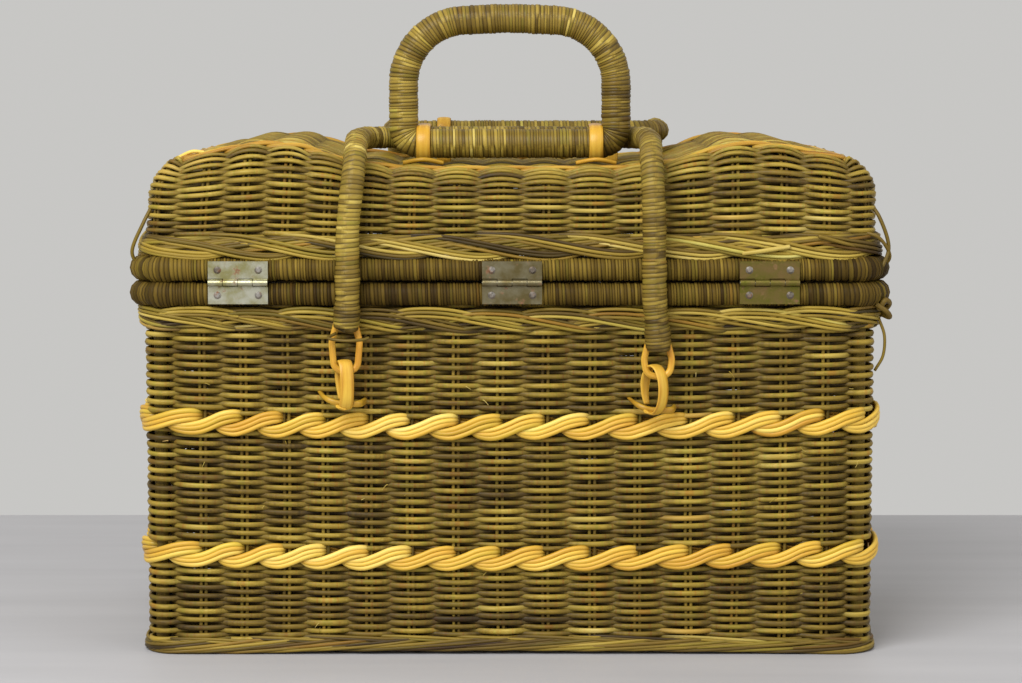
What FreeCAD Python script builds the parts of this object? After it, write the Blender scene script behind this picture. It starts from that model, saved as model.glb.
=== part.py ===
"""Rectangular wicker carrying hamper with a hinged, saddle-topped lid.

The frame is in millimetres with +Z up. The origin is on the ground under the middle of the basket,
+X runs along its length, and -Y is the side that carries the three butt hinges.
"""

import FreeCAD, Part
import math
import os
import Sketcher
from FreeCAD import Placement, Rotation, Vector

SIZES = [
    # the woven body
    ("wall_length", 474),  # outside, at the top of the wall
    ("wall_width", 250),
    ("wall_height", 225),
    ("wall_taper", 1),  # how far each side comes in at the foot
    ("corner_radius", 22),
    ("skin", 4.2),  # thickness of the weave
    ("stake_thick", 2.6),  # a stake is a pair of canes side by side
    ("stake_wide", 7.2),
    ("stakes_long", 15),  # pairs on a long side, and on a short one
    ("stakes_short", 7),
    ("stake_margin", 16.5),  # from the outermost stakes to the rounded corners
    ("seat_gap", 0.1),  # between pieces that bear on each other
    ("post_radius", 4.5),
    ("base_lift", 3),
    ("base_thick", 3.6),
    ("base_stick_radius", 2.2),
    ("base_sticks", 9),
    ("foot_height", 14),
    ("foot_proud", 3),
    ("border_height", 15),
    ("border_proud", 2.4),
    ("band_height", 12),
    ("band_proud", 2.5),
    ("low_band_z", 66),  # middle height of each honey band
    ("high_band_z", 152),
    # the two wrapped rims
    ("rim_radius", 7.4),
    ("rim_inset", 0.5),  # rim centre line inside the wall's outer face
    ("rim_gap", 1.2),
    # the lid
    ("lid_lean", 2),  # how far the end walls lean in
    ("lid_shoulder", 58),  # heights above the lid's lower edge
    ("lid_hump", 70),
    ("lid_saddle", 57),
    ("hump_x", 157),
    ("saddle_x", 72),
    ("hump_round", 150),
    ("saddle_round", 260),
    ("end_stake_depth", 22),  # how far in from its end the lid's end stakes are cut off
    ("lid_border_height", 14),
    ("lid_border_proud", 3),
    ("lid_band_inset", 9),  # from the lid's sides, seen from above
    ("lid_band_width", 12),
    ("lid_band_proud", 2),
    # the butt hinges
    ("hinge_left_x", -172.5),
    ("hinge_mid_x", 1.5),
    ("hinge_right_x", 165),
    ("hinge_length", 38),
    ("leaf_height", 11),
    ("leaf_thick", 1.2),
    ("knuckle_radius", 2.2),
    ("knuckle_gap", 0.4),
    ("pin_radius", 1.1),
    ("pin_clearance", 0.05),
    ("nail_head_radius", 2.4),
    ("nail_head_height", 1.1),
    ("nail_radius", 0.9),
    ("nail_length", 6),
    ("nail_inset", 6),  # from the ends of the leaf
    ("nail_drop", 8),  # from the hinge pin
    # the two bails
    ("bail_radius", 7.5),
    ("bail_half", 99),  # from the middle of a bail to each arm
    ("bail_corner", 22),
    ("bail_clearance", 2.4),  # between an arm and the rim
    ("back_bail_x", -5),
    ("front_bail_x", 12),
    ("crossbar_reach", 25),  # each crossbar from the middle of the lid
    ("front_bail_lift", 12),  # the front crossbar's height above the lid
    ("back_bail_lift", 6.5),  # the back crossbar's height above the feet of the grip's ties
    ("back_bend", 36),
    ("front_bend", 40),
    ("knee_bend", 60),  # where the back arms turn in below the rim
    ("arm_end_z", 198),
    ("arm_end_round", 2.5),
    # the links that hold the bails to the walls
    ("cane_radius", 2.4),
    ("staple_z", 161.5),
    ("staple_reach", 13.5),
    ("staple_half", 13),
    ("staple_corner", 4.5),
    ("staple_root", 3.4),  # how deep its ends are driven into the wall
    ("link_pitch", 20),  # staple bar to loop bar
    ("link_slack", 2.2),
    ("link_room", 0.6),  # around the bars it hangs on
    ("link_thick", 2),
    ("link_wide", 9),
    ("loop_half", 8.1),
    ("loop_corner", 3),
    ("loop_overlap", 13),  # how far its legs lie in the grooves of the arm
    # the carrying grip
    ("grip_radius", 10.25),
    ("grip_width", 146.8),  # between centre lines
    ("grip_height", 83),
    ("grip_top_corner", 42),
    ("grip_low_corner", 11),
    ("grip_clearance", 0.35),
    ("grip_bar_gap", 0.4),  # between the grip's bar and the back crossbar
    ("strap_clearance", 0.35),
    ("strap_root", 3),  # how deep its ends are let into the lid
    ("tie_half", 57.2),
    ("tie_wide", 9.5),
    ("tie_thick", 2),
    ("tie_lift", 0.5),
    ("tie_grip_gap", 0.15),
]

doc = FreeCAD.newDocument("hamper")
sheet = doc.addObject("Spreadsheet::Sheet", "sizes")
for row, (alias, number) in enumerate(SIZES, start=1):
    sheet.set(f"A{row}", alias)
    sheet.set(f"B{row}", str(number))
    sheet.setAlias(f"B{row}", alias)
doc.recompute()

# Expressions that several pieces share.
RIM_Z = "(sizes.wall_height + sizes.seat_gap + sizes.rim_radius)"
LID_RIM_Z = f"({RIM_Z} + 2 * sizes.rim_radius + sizes.rim_gap)"
LID_Z = f"({LID_RIM_Z} + sizes.rim_radius + sizes.seat_gap)"
HINGE_Z = f"({RIM_Z} + sizes.rim_radius + sizes.rim_gap / 2)"
RIM_HALF_WIDTH = "(sizes.wall_width / 2 - sizes.rim_inset)"
LEAF_BACK_Y = f"({RIM_HALF_WIDTH} + sizes.rim_radius + sizes.seat_gap)"

SUNK = "5"  # how far an inner block reaches below the lid's lower edge, so that it cuts right through
BEYOND = "20"  # how far a cutting zone reaches past the walls
MERGE = "0.1"  # how far two shapes that are fused run into each other

parts = {}  # label to document object, in the order in which they are written


def size(alias):
    """A driving dimension, as a number."""
    return float(sheet.get(alias))


def worked_out(expression):
    """The value of one of the shared expressions, as a number."""
    return float(sheet.evalExpression(expression))


def keep(thing, label):
    """Names a finished sub-part and marks it to be written."""
    thing.Label = label
    parts[label] = thing
    return thing


def feature(label, shape, position=Vector(0, 0, 0)):
    """A sub-part whose shape is made from the sheet's values by Part's own functions."""
    thing = doc.addObject("Part::Feature", label)
    thing.Shape = shape
    thing.Placement = Placement(position, Rotation()) * shape.Placement
    return thing


def boolean(kind, name, base, tool):
    """Part::Cut or Part::Common of two document objects."""
    thing = doc.addObject(kind, name)
    thing.Base = base
    thing.Tool = tool
    return thing


def fuse(name, shapes):
    """One object that joins several."""
    thing = doc.addObject("Part::MultiFuse", name)
    thing.Shapes = shapes
    return thing


def primitive(kind, name, sizes, place):
    """A Part primitive with its sizes and its position bound to the sheet."""
    thing = doc.addObject(kind, name)
    for prop, expression in {**sizes, **{f"Placement.Base.{k}": v for k, v in place.items()}}.items():
        thing.setExpression(prop, expression)
    return thing


def origin_plane(body, role):
    """One of a body's own origin planes."""
    return next(f for f in body.Origin.OriginFeatures if f.Role == role)


def new_sketch(body, name, role, offset=None):
    """An empty sketch on one of the body's origin planes, raised by an expression."""
    sketch = body.newObject("Sketcher::SketchObject", name)
    sketch.AttachmentSupport = [(origin_plane(body, role), "")]
    sketch.MapMode = "FlatFace"
    if offset:
        sketch.setExpression("AttachmentOffset.Base.z", offset)
    return sketch


def dimension(sketch, name, expression, kind, *where):
    """A named driving constraint, bound to an expression."""
    index = sketch.addConstraint(Sketcher.Constraint(kind, *where, worked_out(expression)))
    sketch.renameConstraint(index, name)
    sketch.setExpression(f"Constraints.{name}", expression)


def rounded_rectangle(body, name, length, width, radius, z):
    """A closed rounded rectangle in the XY plane, centred on the origin."""
    sketch = new_sketch(body, name, "XY_Plane", z)
    half_x, half_y = worked_out(length) / 2, worked_out(width) / 2
    r = worked_out(radius)
    up = Vector(0, 0, 1)
    inner_x, inner_y = half_x - r, half_y - r
    centres = [(inner_x, -inner_y), (inner_x, inner_y), (-inner_x, inner_y), (-inner_x, -inner_y)]
    starts = [(-inner_x, -half_y), (half_x, -inner_y), (inner_x, half_y), (-half_x, inner_y)]
    ends = [(inner_x, -half_y), (half_x, inner_y), (-inner_x, half_y), (-half_x, -inner_y)]
    for i, (start, end, centre) in enumerate(zip(starts, ends, centres)):
        sketch.addGeometry(Part.LineSegment(Vector(*start, 0), Vector(*end, 0)), False)
        turn = (i - 1) * math.pi / 2
        circle = Part.Circle(Vector(*centre, 0), up, r)
        sketch.addGeometry(Part.ArcOfCircle(circle, turn, turn + math.pi / 2), False)
    for i in range(8):
        sketch.addConstraint(Sketcher.Constraint("Tangent", i, 2, (i + 1) % 8, 1))
    for i, kind in enumerate(["Horizontal", "Vertical"] * 2):
        sketch.addConstraint(Sketcher.Constraint(kind, 2 * i))
    for arc in (3, 5, 7):
        sketch.addConstraint(Sketcher.Constraint("Equal", 1, arc))
    sketch.addConstraint(Sketcher.Constraint("Symmetric", 1, 3, 5, 3, -1, 1))
    dimension(sketch, "length", length, "DistanceX", 6, 1, 2, 1)
    dimension(sketch, "width", width, "DistanceY", 0, 1, 4, 1)
    dimension(sketch, "corner", radius, "Radius", 1)
    return sketch


# --------------------------------------------------------------------------- the woven body


def wall_size(across, z, inset):
    """Length or width of the tapering wall's outer face at height z, less an inset on each side."""
    return f"({across} - 2 * sizes.wall_taper * (1 - ({z}) / sizes.wall_height) - 2 * ({inset}))"


def wall_ring(name, low, high, outer_inset, inner_inset):
    """A ring that follows the wall between two heights, from one inset to a deeper one."""
    body = doc.addObject("PartDesign::Body", name)
    for kind, inset in (("Additive", outer_inset), ("Subtractive", inner_inset)):
        sections = [
            rounded_rectangle(
                body,
                f"{name}_{kind}_{end}",
                wall_size("sizes.wall_length", z, inset),
                wall_size("sizes.wall_width", z, inset),
                f"(sizes.corner_radius - ({inset}))",
                z,
            )
            for end, z in (("low", low), ("high", high))
        ]
        doc.recompute()
        loft = body.newObject(f"PartDesign::{kind}Loft", f"{name}_{kind}")
        loft.Profile = sections[0]
        loft.Sections = [sections[1]]
        loft.Ruled = True
        doc.recompute()
    return body


def wall_strip(name, low, high, proud):
    """A plaited or twisted strip that lies proud of the wall all round it."""
    return wall_ring(name, low, high, f"-({proud})", "-sizes.seat_gap")


keep(wall_ring("body_weave", "0", "sizes.wall_height", "0", "sizes.skin"), "body_weave")
keep(wall_strip("foot_border", "0", "sizes.foot_height", "sizes.foot_proud"), "foot_border")
for label, middle in (("low_band", "sizes.low_band_z"), ("high_band", "sizes.high_band_z")):
    half = "sizes.band_height / 2"
    keep(wall_strip(label, f"({middle} - {half})", f"({middle} + {half})", "sizes.band_proud"), label)
BORDER_TOP = "(sizes.wall_height - sizes.seat_gap)"
BORDER_FOOT = f"({BORDER_TOP} - sizes.border_height)"
keep(wall_strip("body_border", BORDER_FOOT, BORDER_TOP, "sizes.border_proud"), "body_border")


def bars(name, axis, count, low, high, keep_out=0):
    """Upright slabs, one through each pair of stakes, spaced evenly along a wall."""
    along = size("wall_length") if axis == "x" else size("wall_width")
    across = size("wall_width") if axis == "x" else size("wall_length")
    outermost = along / 2 - size("wall_taper") - size("corner_radius") - size("stake_margin")
    pitch = 2 * outermost / (count - 1)
    wide = size("stake_wide")
    slabs = []
    for i in range(int(count)):
        at = i * pitch - outermost - wide / 2
        spans = [(-across, across)] if not keep_out else [(-across, -keep_out), (keep_out, across)]
        for start, end in spans:
            if axis == "x":
                slabs.append(Part.makeBox(wide, end - start, high - low, Vector(at, start, low)))
            else:
                slabs.append(Part.makeBox(end - start, wide, high - low, Vector(start, at, low)))
    return feature(name, Part.makeCompound(slabs))


STAKE_OUTSIDE = "(sizes.skin + sizes.seat_gap)"
STAKE_INSIDE = f"({STAKE_OUTSIDE} + sizes.stake_thick)"
stake_room = wall_ring("stake_room", "0", "sizes.wall_height", STAKE_OUTSIDE, STAKE_INSIDE)
stake_bars = [
    bars("stake_bars_long", "x", size("stakes_long"), -1, size("wall_height") + 1),
    bars("stake_bars_short", "y", size("stakes_short"), -1, size("wall_height") + 1),
]
for label, slabs in zip(("long_wall_stakes", "end_wall_stakes"), stake_bars):
    keep(boolean("Part::Common", label, stake_room, slabs), label)


def corner_posts(name, radius):
    """Four round posts that lean with the wall's corners, from the ground to the rim."""
    inside = size("skin") + 2 * size("seat_gap")
    diagonal = (size("corner_radius") - inside - size("post_radius")) * math.sqrt(0.5)
    lift = 2 * size("seat_gap")  # keeps the leaning ends off the ground and the rim
    posts = []
    for side_x in (-1, 1):
        for side_y in (-1, 1):
            ends = []
            for z, taper in ((lift, size("wall_taper")), (size("wall_height") - lift, 0)):
                x = size("wall_length") / 2 - taper - size("corner_radius") + diagonal
                y = size("wall_width") / 2 - taper - size("corner_radius") + diagonal
                ends.append(Vector(side_x * x, side_y * y, z))
            run = ends[1] - ends[0]
            posts.append(Part.makeCylinder(radius, run.Length, ends[0], run))
    return feature(name, Part.makeCompound(posts))


keep(corner_posts("corner_posts", size("post_radius")), "corner_posts")

BASE_INSET = "(sizes.skin + sizes.stake_thick + 3 * sizes.seat_gap + 2 * sizes.post_radius)"
BASE_TOP = "(sizes.base_lift + sizes.base_thick)"


def base_panel():
    """The woven bottom, which fits inside the stakes; its corners are cut round the corner posts."""
    body = doc.addObject("PartDesign::Body", "base_panel")
    inset = "(sizes.skin + sizes.stake_thick + 3 * sizes.seat_gap)"
    outline = rounded_rectangle(
        body,
        "base_outline",
        wall_size("sizes.wall_length", "0", inset),
        wall_size("sizes.wall_width", "0", inset),
        f"({BASE_INSET})",
        "sizes.base_lift",
    )
    doc.recompute()
    pad = body.newObject("PartDesign::Pad", "base_pad")
    pad.Profile = outline
    pad.setExpression("Length", "sizes.base_thick")
    return body


def base_sticks():
    """Round sticks that lie lengthwise on the woven bottom and stiffen it."""
    radius = size("base_stick_radius")
    inset = size("skin") + size("stake_thick") + 3 * size("seat_gap")
    length = size("wall_length") - 2 * (size("wall_taper") + inset)
    room = size("wall_width") - 2 * (size("wall_taper") + inset + size("corner_radius"))
    z = worked_out(BASE_TOP) + radius + size("seat_gap")
    count = int(size("base_sticks"))
    starts = [Vector(-length / 2, (i / (count - 1) - 0.5) * room, z) for i in range(count)]
    sticks = [Part.makeCylinder(radius, length, start, Vector(1, 0, 0)) for start in starts]
    return feature("base_sticks", Part.makeCompound(sticks))


base_blank = base_panel()
post_room = corner_posts("post_room", size("post_radius") + size("seat_gap"))
keep(boolean("Part::Cut", "base_panel", base_blank, post_room), "base_panel")
keep(base_sticks(), "base_sticks")


def rim(label, z):
    """A wrapped rod that runs round the wall's edge."""
    body = doc.addObject("PartDesign::Body", label)
    path = rounded_rectangle(
        body,
        f"{label}_path",
        "(sizes.wall_length - 2 * sizes.rim_inset)",
        f"(2 * {RIM_HALF_WIDTH})",
        "(sizes.corner_radius - sizes.rim_inset)",
        z,
    )
    section = new_sketch(body, f"{label}_section", "YZ_Plane")
    at = Vector(-worked_out(RIM_HALF_WIDTH), worked_out(z), 0)
    section.addGeometry(Part.Circle(at, Vector(0, 0, 1), size("rim_radius")), False)
    dimension(section, "out", RIM_HALF_WIDTH, "DistanceX", 0, 3, -1, 1)
    dimension(section, "up", z, "DistanceY", -1, 1, 0, 3)
    dimension(section, "radius", "sizes.rim_radius", "Radius", 0)
    doc.recompute()
    pipe = body.newObject("PartDesign::AdditivePipe", f"{label}_rod")
    pipe.Profile = section
    pipe.Spine = path
    doc.recompute()
    return body


keep(rim("body_rim", RIM_Z), "body_rim")
keep(rim("lid_rim", LID_RIM_Z), "lid_rim")


# --------------------------------------------------------------------------- the lid


def lid_profile_points(inset, drop=0):
    """Half of the lid's end-to-end outline as (x, z) expressions, from the edge to the saddle."""
    low = f"({inset} + {drop})"
    return [
        (f"(sizes.wall_length / 2 - sizes.lid_lean - {inset})", f"({LID_Z} + sizes.lid_shoulder - {low})"),
        ("sizes.hump_x", f"({LID_Z} + sizes.lid_hump - {low})"),
        ("sizes.saddle_x", f"({LID_Z} + sizes.lid_saddle - {low})"),
    ]


def outline_sketch(body, name, corners):
    """A closed outline in the XZ plane through corners given as (x, z) expressions, mirrored in X."""
    sketch = new_sketch(body, name, "XZ_Plane")
    right = [Vector(worked_out(x), worked_out(z), 0) for x, z in corners]
    loop = right + [Vector(-p.x, p.y, 0) for p in reversed(right)]
    count = len(loop)
    for i in range(count):
        sketch.addGeometry(Part.LineSegment(loop[i], loop[(i + 1) % count]), False)
    for i in range(count):
        sketch.addConstraint(Sketcher.Constraint("Coincident", i, 2, (i + 1) % count, 1))
    for i, (x, z) in enumerate(corners):
        dimension(sketch, f"x{i}", x, "DistanceX", -1, 1, i, 1)
        dimension(sketch, f"z{i}", z, "DistanceY", -1, 1, i, 1)
        sketch.addConstraint(Sketcher.Constraint("Symmetric", i, 1, count - 1 - i, 1, -2))
    return sketch


def edges_where(shape, test):
    """Names of a shape's edges that pass a test."""
    return [f"Edge{i + 1}" for i, edge in enumerate(shape.Edges) if test(edge)]


def lid_block(name, inset, sunk="0"):
    """The lid's outside as one solid, inset on every face, with rounded shoulders and corners."""
    body = doc.addObject("PartDesign::Body", name)
    flare = f"sizes.lid_lean * {sunk} / (sizes.lid_shoulder - {inset})"  # the end walls' slope, carried down
    foot = (f"(sizes.wall_length / 2 - {inset} + {flare})", f"({LID_Z} - {sunk})")
    outline = outline_sketch(body, f"{name}_outline", [foot] + lid_profile_points(inset))
    doc.recompute()
    pad = body.newObject("PartDesign::Pad", f"{name}_pad")
    pad.Profile = outline
    pad.Midplane = True
    pad.setExpression("Length", f"sizes.wall_width - 2 * ({inset})")
    doc.recompute()
    last = pad
    foot_z = worked_out(foot[1])

    def crosswise(corner):
        """A test for the edges that run across the lid at one corner of its outline."""
        x, z = (worked_out(v) for v in corner)
        return lambda e: e.BoundBox.XLength < 0.01 and all(
            abs(abs(v.X) - x) < 0.01 and abs(v.Z - z) < 0.01 for v in e.Vertexes
        )

    shoulder, hump, saddle = lid_profile_points(inset)
    rounds = [
        (shoulder, f"(sizes.corner_radius - ({inset}))"),
        (hump, "sizes.hump_round"),
        (saddle, "sizes.saddle_round"),
    ]
    for number, (corner, radius) in enumerate(rounds):
        fillet = body.newObject("PartDesign::Fillet", f"{name}_across{number}")
        fillet.Base = (last, edges_where(last.Shape, crosswise(corner)))
        fillet.setExpression("Radius", radius)
        doc.recompute()
        last = fillet
    side = worked_out(f"sizes.wall_width / 2 - ({inset})")
    brink = edges_where(
        last.Shape,
        lambda e: abs(abs(e.CenterOfMass.y) - side) < 0.01
        and e.BoundBox.YLength < 0.01
        and e.BoundBox.ZMax > foot_z + 0.01,
    )
    fillet = body.newObject("PartDesign::Fillet", f"{name}_brink")
    fillet.Base = (last, brink)
    fillet.setExpression("Radius", f"(sizes.corner_radius - ({inset})) * 0.999")
    doc.recompute()
    return body


lid_outside = lid_block("lid_outside", "0")
lid_inside = lid_block("lid_inside", "sizes.skin", SUNK)
keep(boolean("Part::Cut", "lid_weave", lid_outside, lid_inside), "lid_weave")

stake_outside = lid_block("lid_stake_outside", STAKE_OUTSIDE)
stake_inside = lid_block("lid_stake_inside", STAKE_INSIDE, SUNK)
lid_stake_room = boolean("Part::Cut", "lid_stake_room", stake_outside, stake_inside)
lid_low, lid_high = worked_out(LID_Z) - 1, worked_out(LID_Z) + 2 * size("lid_hump")
lid_bars = bars("lid_bars_long", "x", size("stakes_long"), lid_low, lid_high)
keep(boolean("Part::Common", "lid_stakes", lid_stake_room, lid_bars), "lid_stakes")
end_from = size("wall_length") / 2 - size("end_stake_depth")
end_bars = bars("lid_bars_short", "y", size("stakes_short"), lid_low, lid_high, end_from)
keep(boolean("Part::Common", "lid_end_stakes", lid_stake_room, end_bars), "lid_end_stakes")


def lid_strip(label, proud, zone):
    """A strip that lies proud of the lid, cut from a jacket over it by a zone."""
    jacket_outside = lid_block(f"{label}_outside", f"(-{proud})")
    jacket_inside = lid_block(f"{label}_inside", "(-sizes.seat_gap)", SUNK)
    jacket = boolean("Part::Cut", f"{label}_jacket", jacket_outside, jacket_inside)
    return boolean("Part::Common", label, jacket, zone)


def band_zone():
    """An upright ring over the lid's rounded top edge, as wide as the honey band."""
    body = doc.addObject("PartDesign::Body", "lid_band_zone")
    outer = "sizes.lid_band_inset"
    inner = "(sizes.lid_band_inset + sizes.lid_band_width)"
    for kind, inset in (("Pad", outer), ("Pocket", inner)):
        outline = rounded_rectangle(
            body,
            f"lid_band_{kind}_outline",
            f"(sizes.wall_length - 2 * (sizes.lid_lean + {inset}))",
            f"(sizes.wall_width - 2 * {inset})",
            f"(sizes.corner_radius + sizes.lid_band_proud - {inset})",
            f"({LID_Z} + sizes.lid_border_height)",
        )
        doc.recompute()
        step = body.newObject(f"PartDesign::{kind}", f"lid_band_{kind}")
        step.Profile = outline
        step.Reversed = kind == "Pocket"
        step.setExpression("Length", f"(sizes.lid_hump + {BEYOND})")
        doc.recompute()
    return body


border_zone = primitive(
    "Part::Box",
    "lid_border_zone",
    {
        "Length": f"sizes.wall_length + 2 * {BEYOND}",
        "Width": f"sizes.wall_width + 2 * {BEYOND}",
        "Height": "sizes.lid_border_height",
    },
    {"x": f"-(sizes.wall_length / 2 + {BEYOND})", "y": f"-(sizes.wall_width / 2 + {BEYOND})", "z": LID_Z},
)
keep(lid_strip("lid_border", "sizes.lid_border_proud", border_zone), "lid_border")
keep(lid_strip("lid_band", "sizes.lid_band_proud", band_zone()), "lid_band")


# --------------------------------------------------------------------------- the butt hinges

KNUCKLES = 4
KNUCKLE_PITCH = f"(sizes.hinge_length / {KNUCKLES})"
PIN_Y = f"(-({LEAF_BACK_Y} + sizes.knuckle_radius))"


def along_x(thing):
    """Turns a cylinder to lie along X."""
    thing.Placement.Rotation = Rotation(Vector(0, 1, 0), 90)
    return thing


def leaf(label, x, upper):
    """One leaf: a plate with two nail holes, and every other knuckle rolled round the pin."""
    sign = 1 if upper else -1
    clear = "(sizes.knuckle_radius + sizes.knuckle_gap)"
    plate_z = f"({HINGE_Z} + {clear})" if upper else f"({HINGE_Z} - {clear} - sizes.leaf_height)"
    plate_y = f"(-({LEAF_BACK_Y} + sizes.leaf_thick))"
    pieces = [
        primitive(
            "Part::Box",
            f"{label}_plate",
            {"Length": "sizes.hinge_length", "Width": "sizes.leaf_thick", "Height": "sizes.leaf_height"},
            {"x": f"({x} - sizes.hinge_length / 2)", "y": plate_y, "z": plate_z},
        )
    ]
    for number in range(1 if upper else 0, KNUCKLES, 2):
        start = f"({x} - sizes.hinge_length / 2 + {number} * {KNUCKLE_PITCH} + sizes.knuckle_gap / 2)"
        length = f"({KNUCKLE_PITCH} - sizes.knuckle_gap)"
        knuckle = primitive(
            "Part::Cylinder",
            f"{label}_knuckle{number}",
            {"Radius": "sizes.knuckle_radius", "Height": length},
            {"x": start, "y": PIN_Y, "z": HINGE_Z},
        )
        pieces.append(along_x(knuckle))
        web_z = HINGE_Z if upper else f"({HINGE_Z} - {clear} - {MERGE})"
        pieces.append(
            primitive(
                "Part::Box",
                f"{label}_web{number}",
                {"Length": length, "Width": "sizes.leaf_thick", "Height": f"({clear} + {MERGE})"},
                {"x": start, "y": plate_y, "z": web_z},
            )
        )
    holes = [
        along_x(
            primitive(
                "Part::Cylinder",
                f"{label}_bore",
                {"Radius": "sizes.pin_radius + sizes.pin_clearance", "Height": "sizes.hinge_length + 2"},
                {"x": f"({x} - sizes.hinge_length / 2 - 1)", "y": PIN_Y, "z": HINGE_Z},
            )
        )
    ]
    for side in (-1, 1):
        hole = primitive(
            "Part::Cylinder",
            f"{label}_hole{side + 1}",
            {"Radius": "sizes.nail_radius + sizes.seat_gap", "Height": "sizes.leaf_thick + 2"},
            {
                "x": f"({x} + {side} * (sizes.hinge_length / 2 - sizes.nail_inset))",
                "y": f"(-({LEAF_BACK_Y} - 1))",
                "z": f"({HINGE_Z} + {sign} * sizes.nail_drop)",
            },
        )
        hole.Placement.Rotation = Rotation(Vector(1, 0, 0), 90)
        holes.append(hole)
    blank = fuse(f"{label}_blank", pieces)
    return boolean("Part::Cut", label, blank, fuse(f"{label}_holes", holes))


def hinge_nails(label, xs, sign):
    """The domed nails that hold one row of leaves to a rim, two to a leaf."""
    back = worked_out(LEAF_BACK_Y)
    face = back + size("leaf_thick") + size("seat_gap") / 2
    z = worked_out(HINGE_Z) + sign * size("nail_drop")
    head, height = size("nail_head_radius"), size("nail_head_height")
    nails = []
    for x in xs:
        for side in (-1, 1):
            under = Vector(x + side * (size("hinge_length") / 2 - size("nail_inset")), -face, z)
            crown = Part.makeCone(head, head / 2, height, under, Vector(0, -1, 0))
            shank = Part.makeCylinder(size("nail_radius"), size("nail_length"), under, Vector(0, 1, 0))
            nails.append(crown.fuse(shank))
    return feature(label, Part.makeCompound(nails))


hinge_places = {"left": "sizes.hinge_left_x", "mid": "sizes.hinge_mid_x", "right": "sizes.hinge_right_x"}
for where, x in hinge_places.items():
    keep(leaf(f"{where}_hinge_body_leaf", x, False), f"{where}_hinge_body_leaf")
    keep(leaf(f"{where}_hinge_lid_leaf", x, True), f"{where}_hinge_lid_leaf")
    pin = primitive(
        "Part::Cylinder",
        f"{where}_hinge_pin",
        {"Radius": "sizes.pin_radius", "Height": "sizes.hinge_length"},
        {"x": f"({x} - sizes.hinge_length / 2)", "y": PIN_Y, "z": HINGE_Z},
    )
    keep(along_x(pin), f"{where}_hinge_pin")
hinge_xs = [worked_out(x) for x in hinge_places.values()]
keep(hinge_nails("body_leaf_nails", hinge_xs, -1), "body_leaf_nails")
keep(hinge_nails("lid_leaf_nails", hinge_xs, 1), "lid_leaf_nails")


# --------------------------------------------------------------------------- rods, bails and grip


def arc_between(start, middle, end):
    """An edge that is the arc through three points."""
    return Part.Arc(start, middle, end).toShape()


def bend(before, corner, after, radius):
    """The tangent arc that rounds a corner, with its start and end points."""
    back = (before - corner).normalize()
    on = (after - corner).normalize()
    half = back.getAngle(on) / 2
    reach = radius / math.tan(half)
    start, end = corner + back * reach, corner + on * reach
    inward = (back + on).normalize()
    middle = corner + inward * (radius / math.sin(half) - radius)
    return start, middle, end


def rod_path(points, radii):
    """A wire of straight runs joined by tangent arcs; radii are those of the inner points."""
    edges = []
    here = points[0]
    for i, radius in enumerate(radii, start=1):
        start, middle, end = bend(points[i - 1], points[i], points[i + 1], radius)
        if (start - here).Length > 1e-6:
            edges.append(Part.LineSegment(here, start).toShape())
        edges.append(arc_between(start, middle, end))
        here = end
    if (points[-1] - here).Length > 1e-6:
        edges.append(Part.LineSegment(here, points[-1]).toShape())
    return Part.Wire(edges)


def rod(path, radius):
    """A round rod along a wire."""
    edge = path.OrderedEdges[0]
    start, along = edge.valueAt(edge.FirstParameter), edge.tangentAt(edge.FirstParameter)
    section = Part.Wire(Part.Circle(start, along, radius).toShape())
    return Part.Solid(path.makePipeShell([section], True, True).Shells[0])


def with_round_ends(solid, radius):
    """The rod with the rims of its two flat ends rounded."""
    ends = [f for f in solid.Faces if f.Surface.TypeId == "Part::GeomPlane"]
    return solid.makeFillet(radius, [e for f in ends for e in f.Edges])


lid_top = worked_out(LID_Z) + size("lid_saddle")
crossbar_seat = size("bail_radius") + size("tie_grip_gap")
tie_foot = size("tie_lift") + size("tie_thick")
back_crossbar_z = lid_top + tie_foot + crossbar_seat + size("back_bail_lift")
back_crossbar = Vector(0, -size("crossbar_reach"), back_crossbar_z)
front_crossbar = Vector(0, size("crossbar_reach"), lid_top + size("front_bail_lift") + size("bail_radius"))
arm_y = worked_out(LEAF_BACK_Y) - size("seat_gap") + size("bail_clearance") + size("bail_radius")
staple_wall = size("wall_width") / 2 - size("wall_taper") * (1 - size("staple_z") / size("wall_height"))
staple_y = staple_wall + size("staple_reach")
loop_z = size("staple_z") + size("link_pitch")

# The front arms hang straight; below the rim the back ones come in, so that their loops reach the links.
front_pivot = Vector(0, arm_y, loop_z)
front_foot = Vector(0, arm_y, size("arm_end_z"))
back_pivot = Vector(0, staple_y, loop_z)
back_knee = Vector(0, arm_y, worked_out(RIM_Z))
arm_start = (size("arm_end_z") - loop_z) / (back_knee.z - loop_z)
back_foot = back_pivot + (back_knee - back_pivot) * arm_start


def bail(crossbar, bend_radius, arm):
    """A bail on the +Y side: a crossbar over the lid, and two arms that bend over it and down the wall."""
    half, top = size("bail_half"), crossbar.z
    points = arm + [Vector(0, arm_y, top), Vector(0, crossbar.y, top)]
    left = [p + Vector(-half, 0, 0) for p in points]
    right = [p + Vector(half, 0, 0) for p in reversed(points)]
    radii = [size("knee_bend")] * (len(arm) - 1) + [bend_radius, size("bail_corner")]
    solid = rod(rod_path(left + right, radii + radii[::-1]), size("bail_radius"))
    return with_round_ends(solid, size("arm_end_round"))


def set_on_arm(shape, pivot, foot, at):
    """Leans a shape that was made about the loop's lower bar, and moves it under an arm."""
    lean = math.degrees(math.atan2(foot.y - pivot.y, foot.z - pivot.z))
    shape.rotate(Vector(0, 0, 0), Vector(1, 0, 0), -lean)
    shape.translate(pivot + Vector(at, 0, 0))
    return shape


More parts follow.
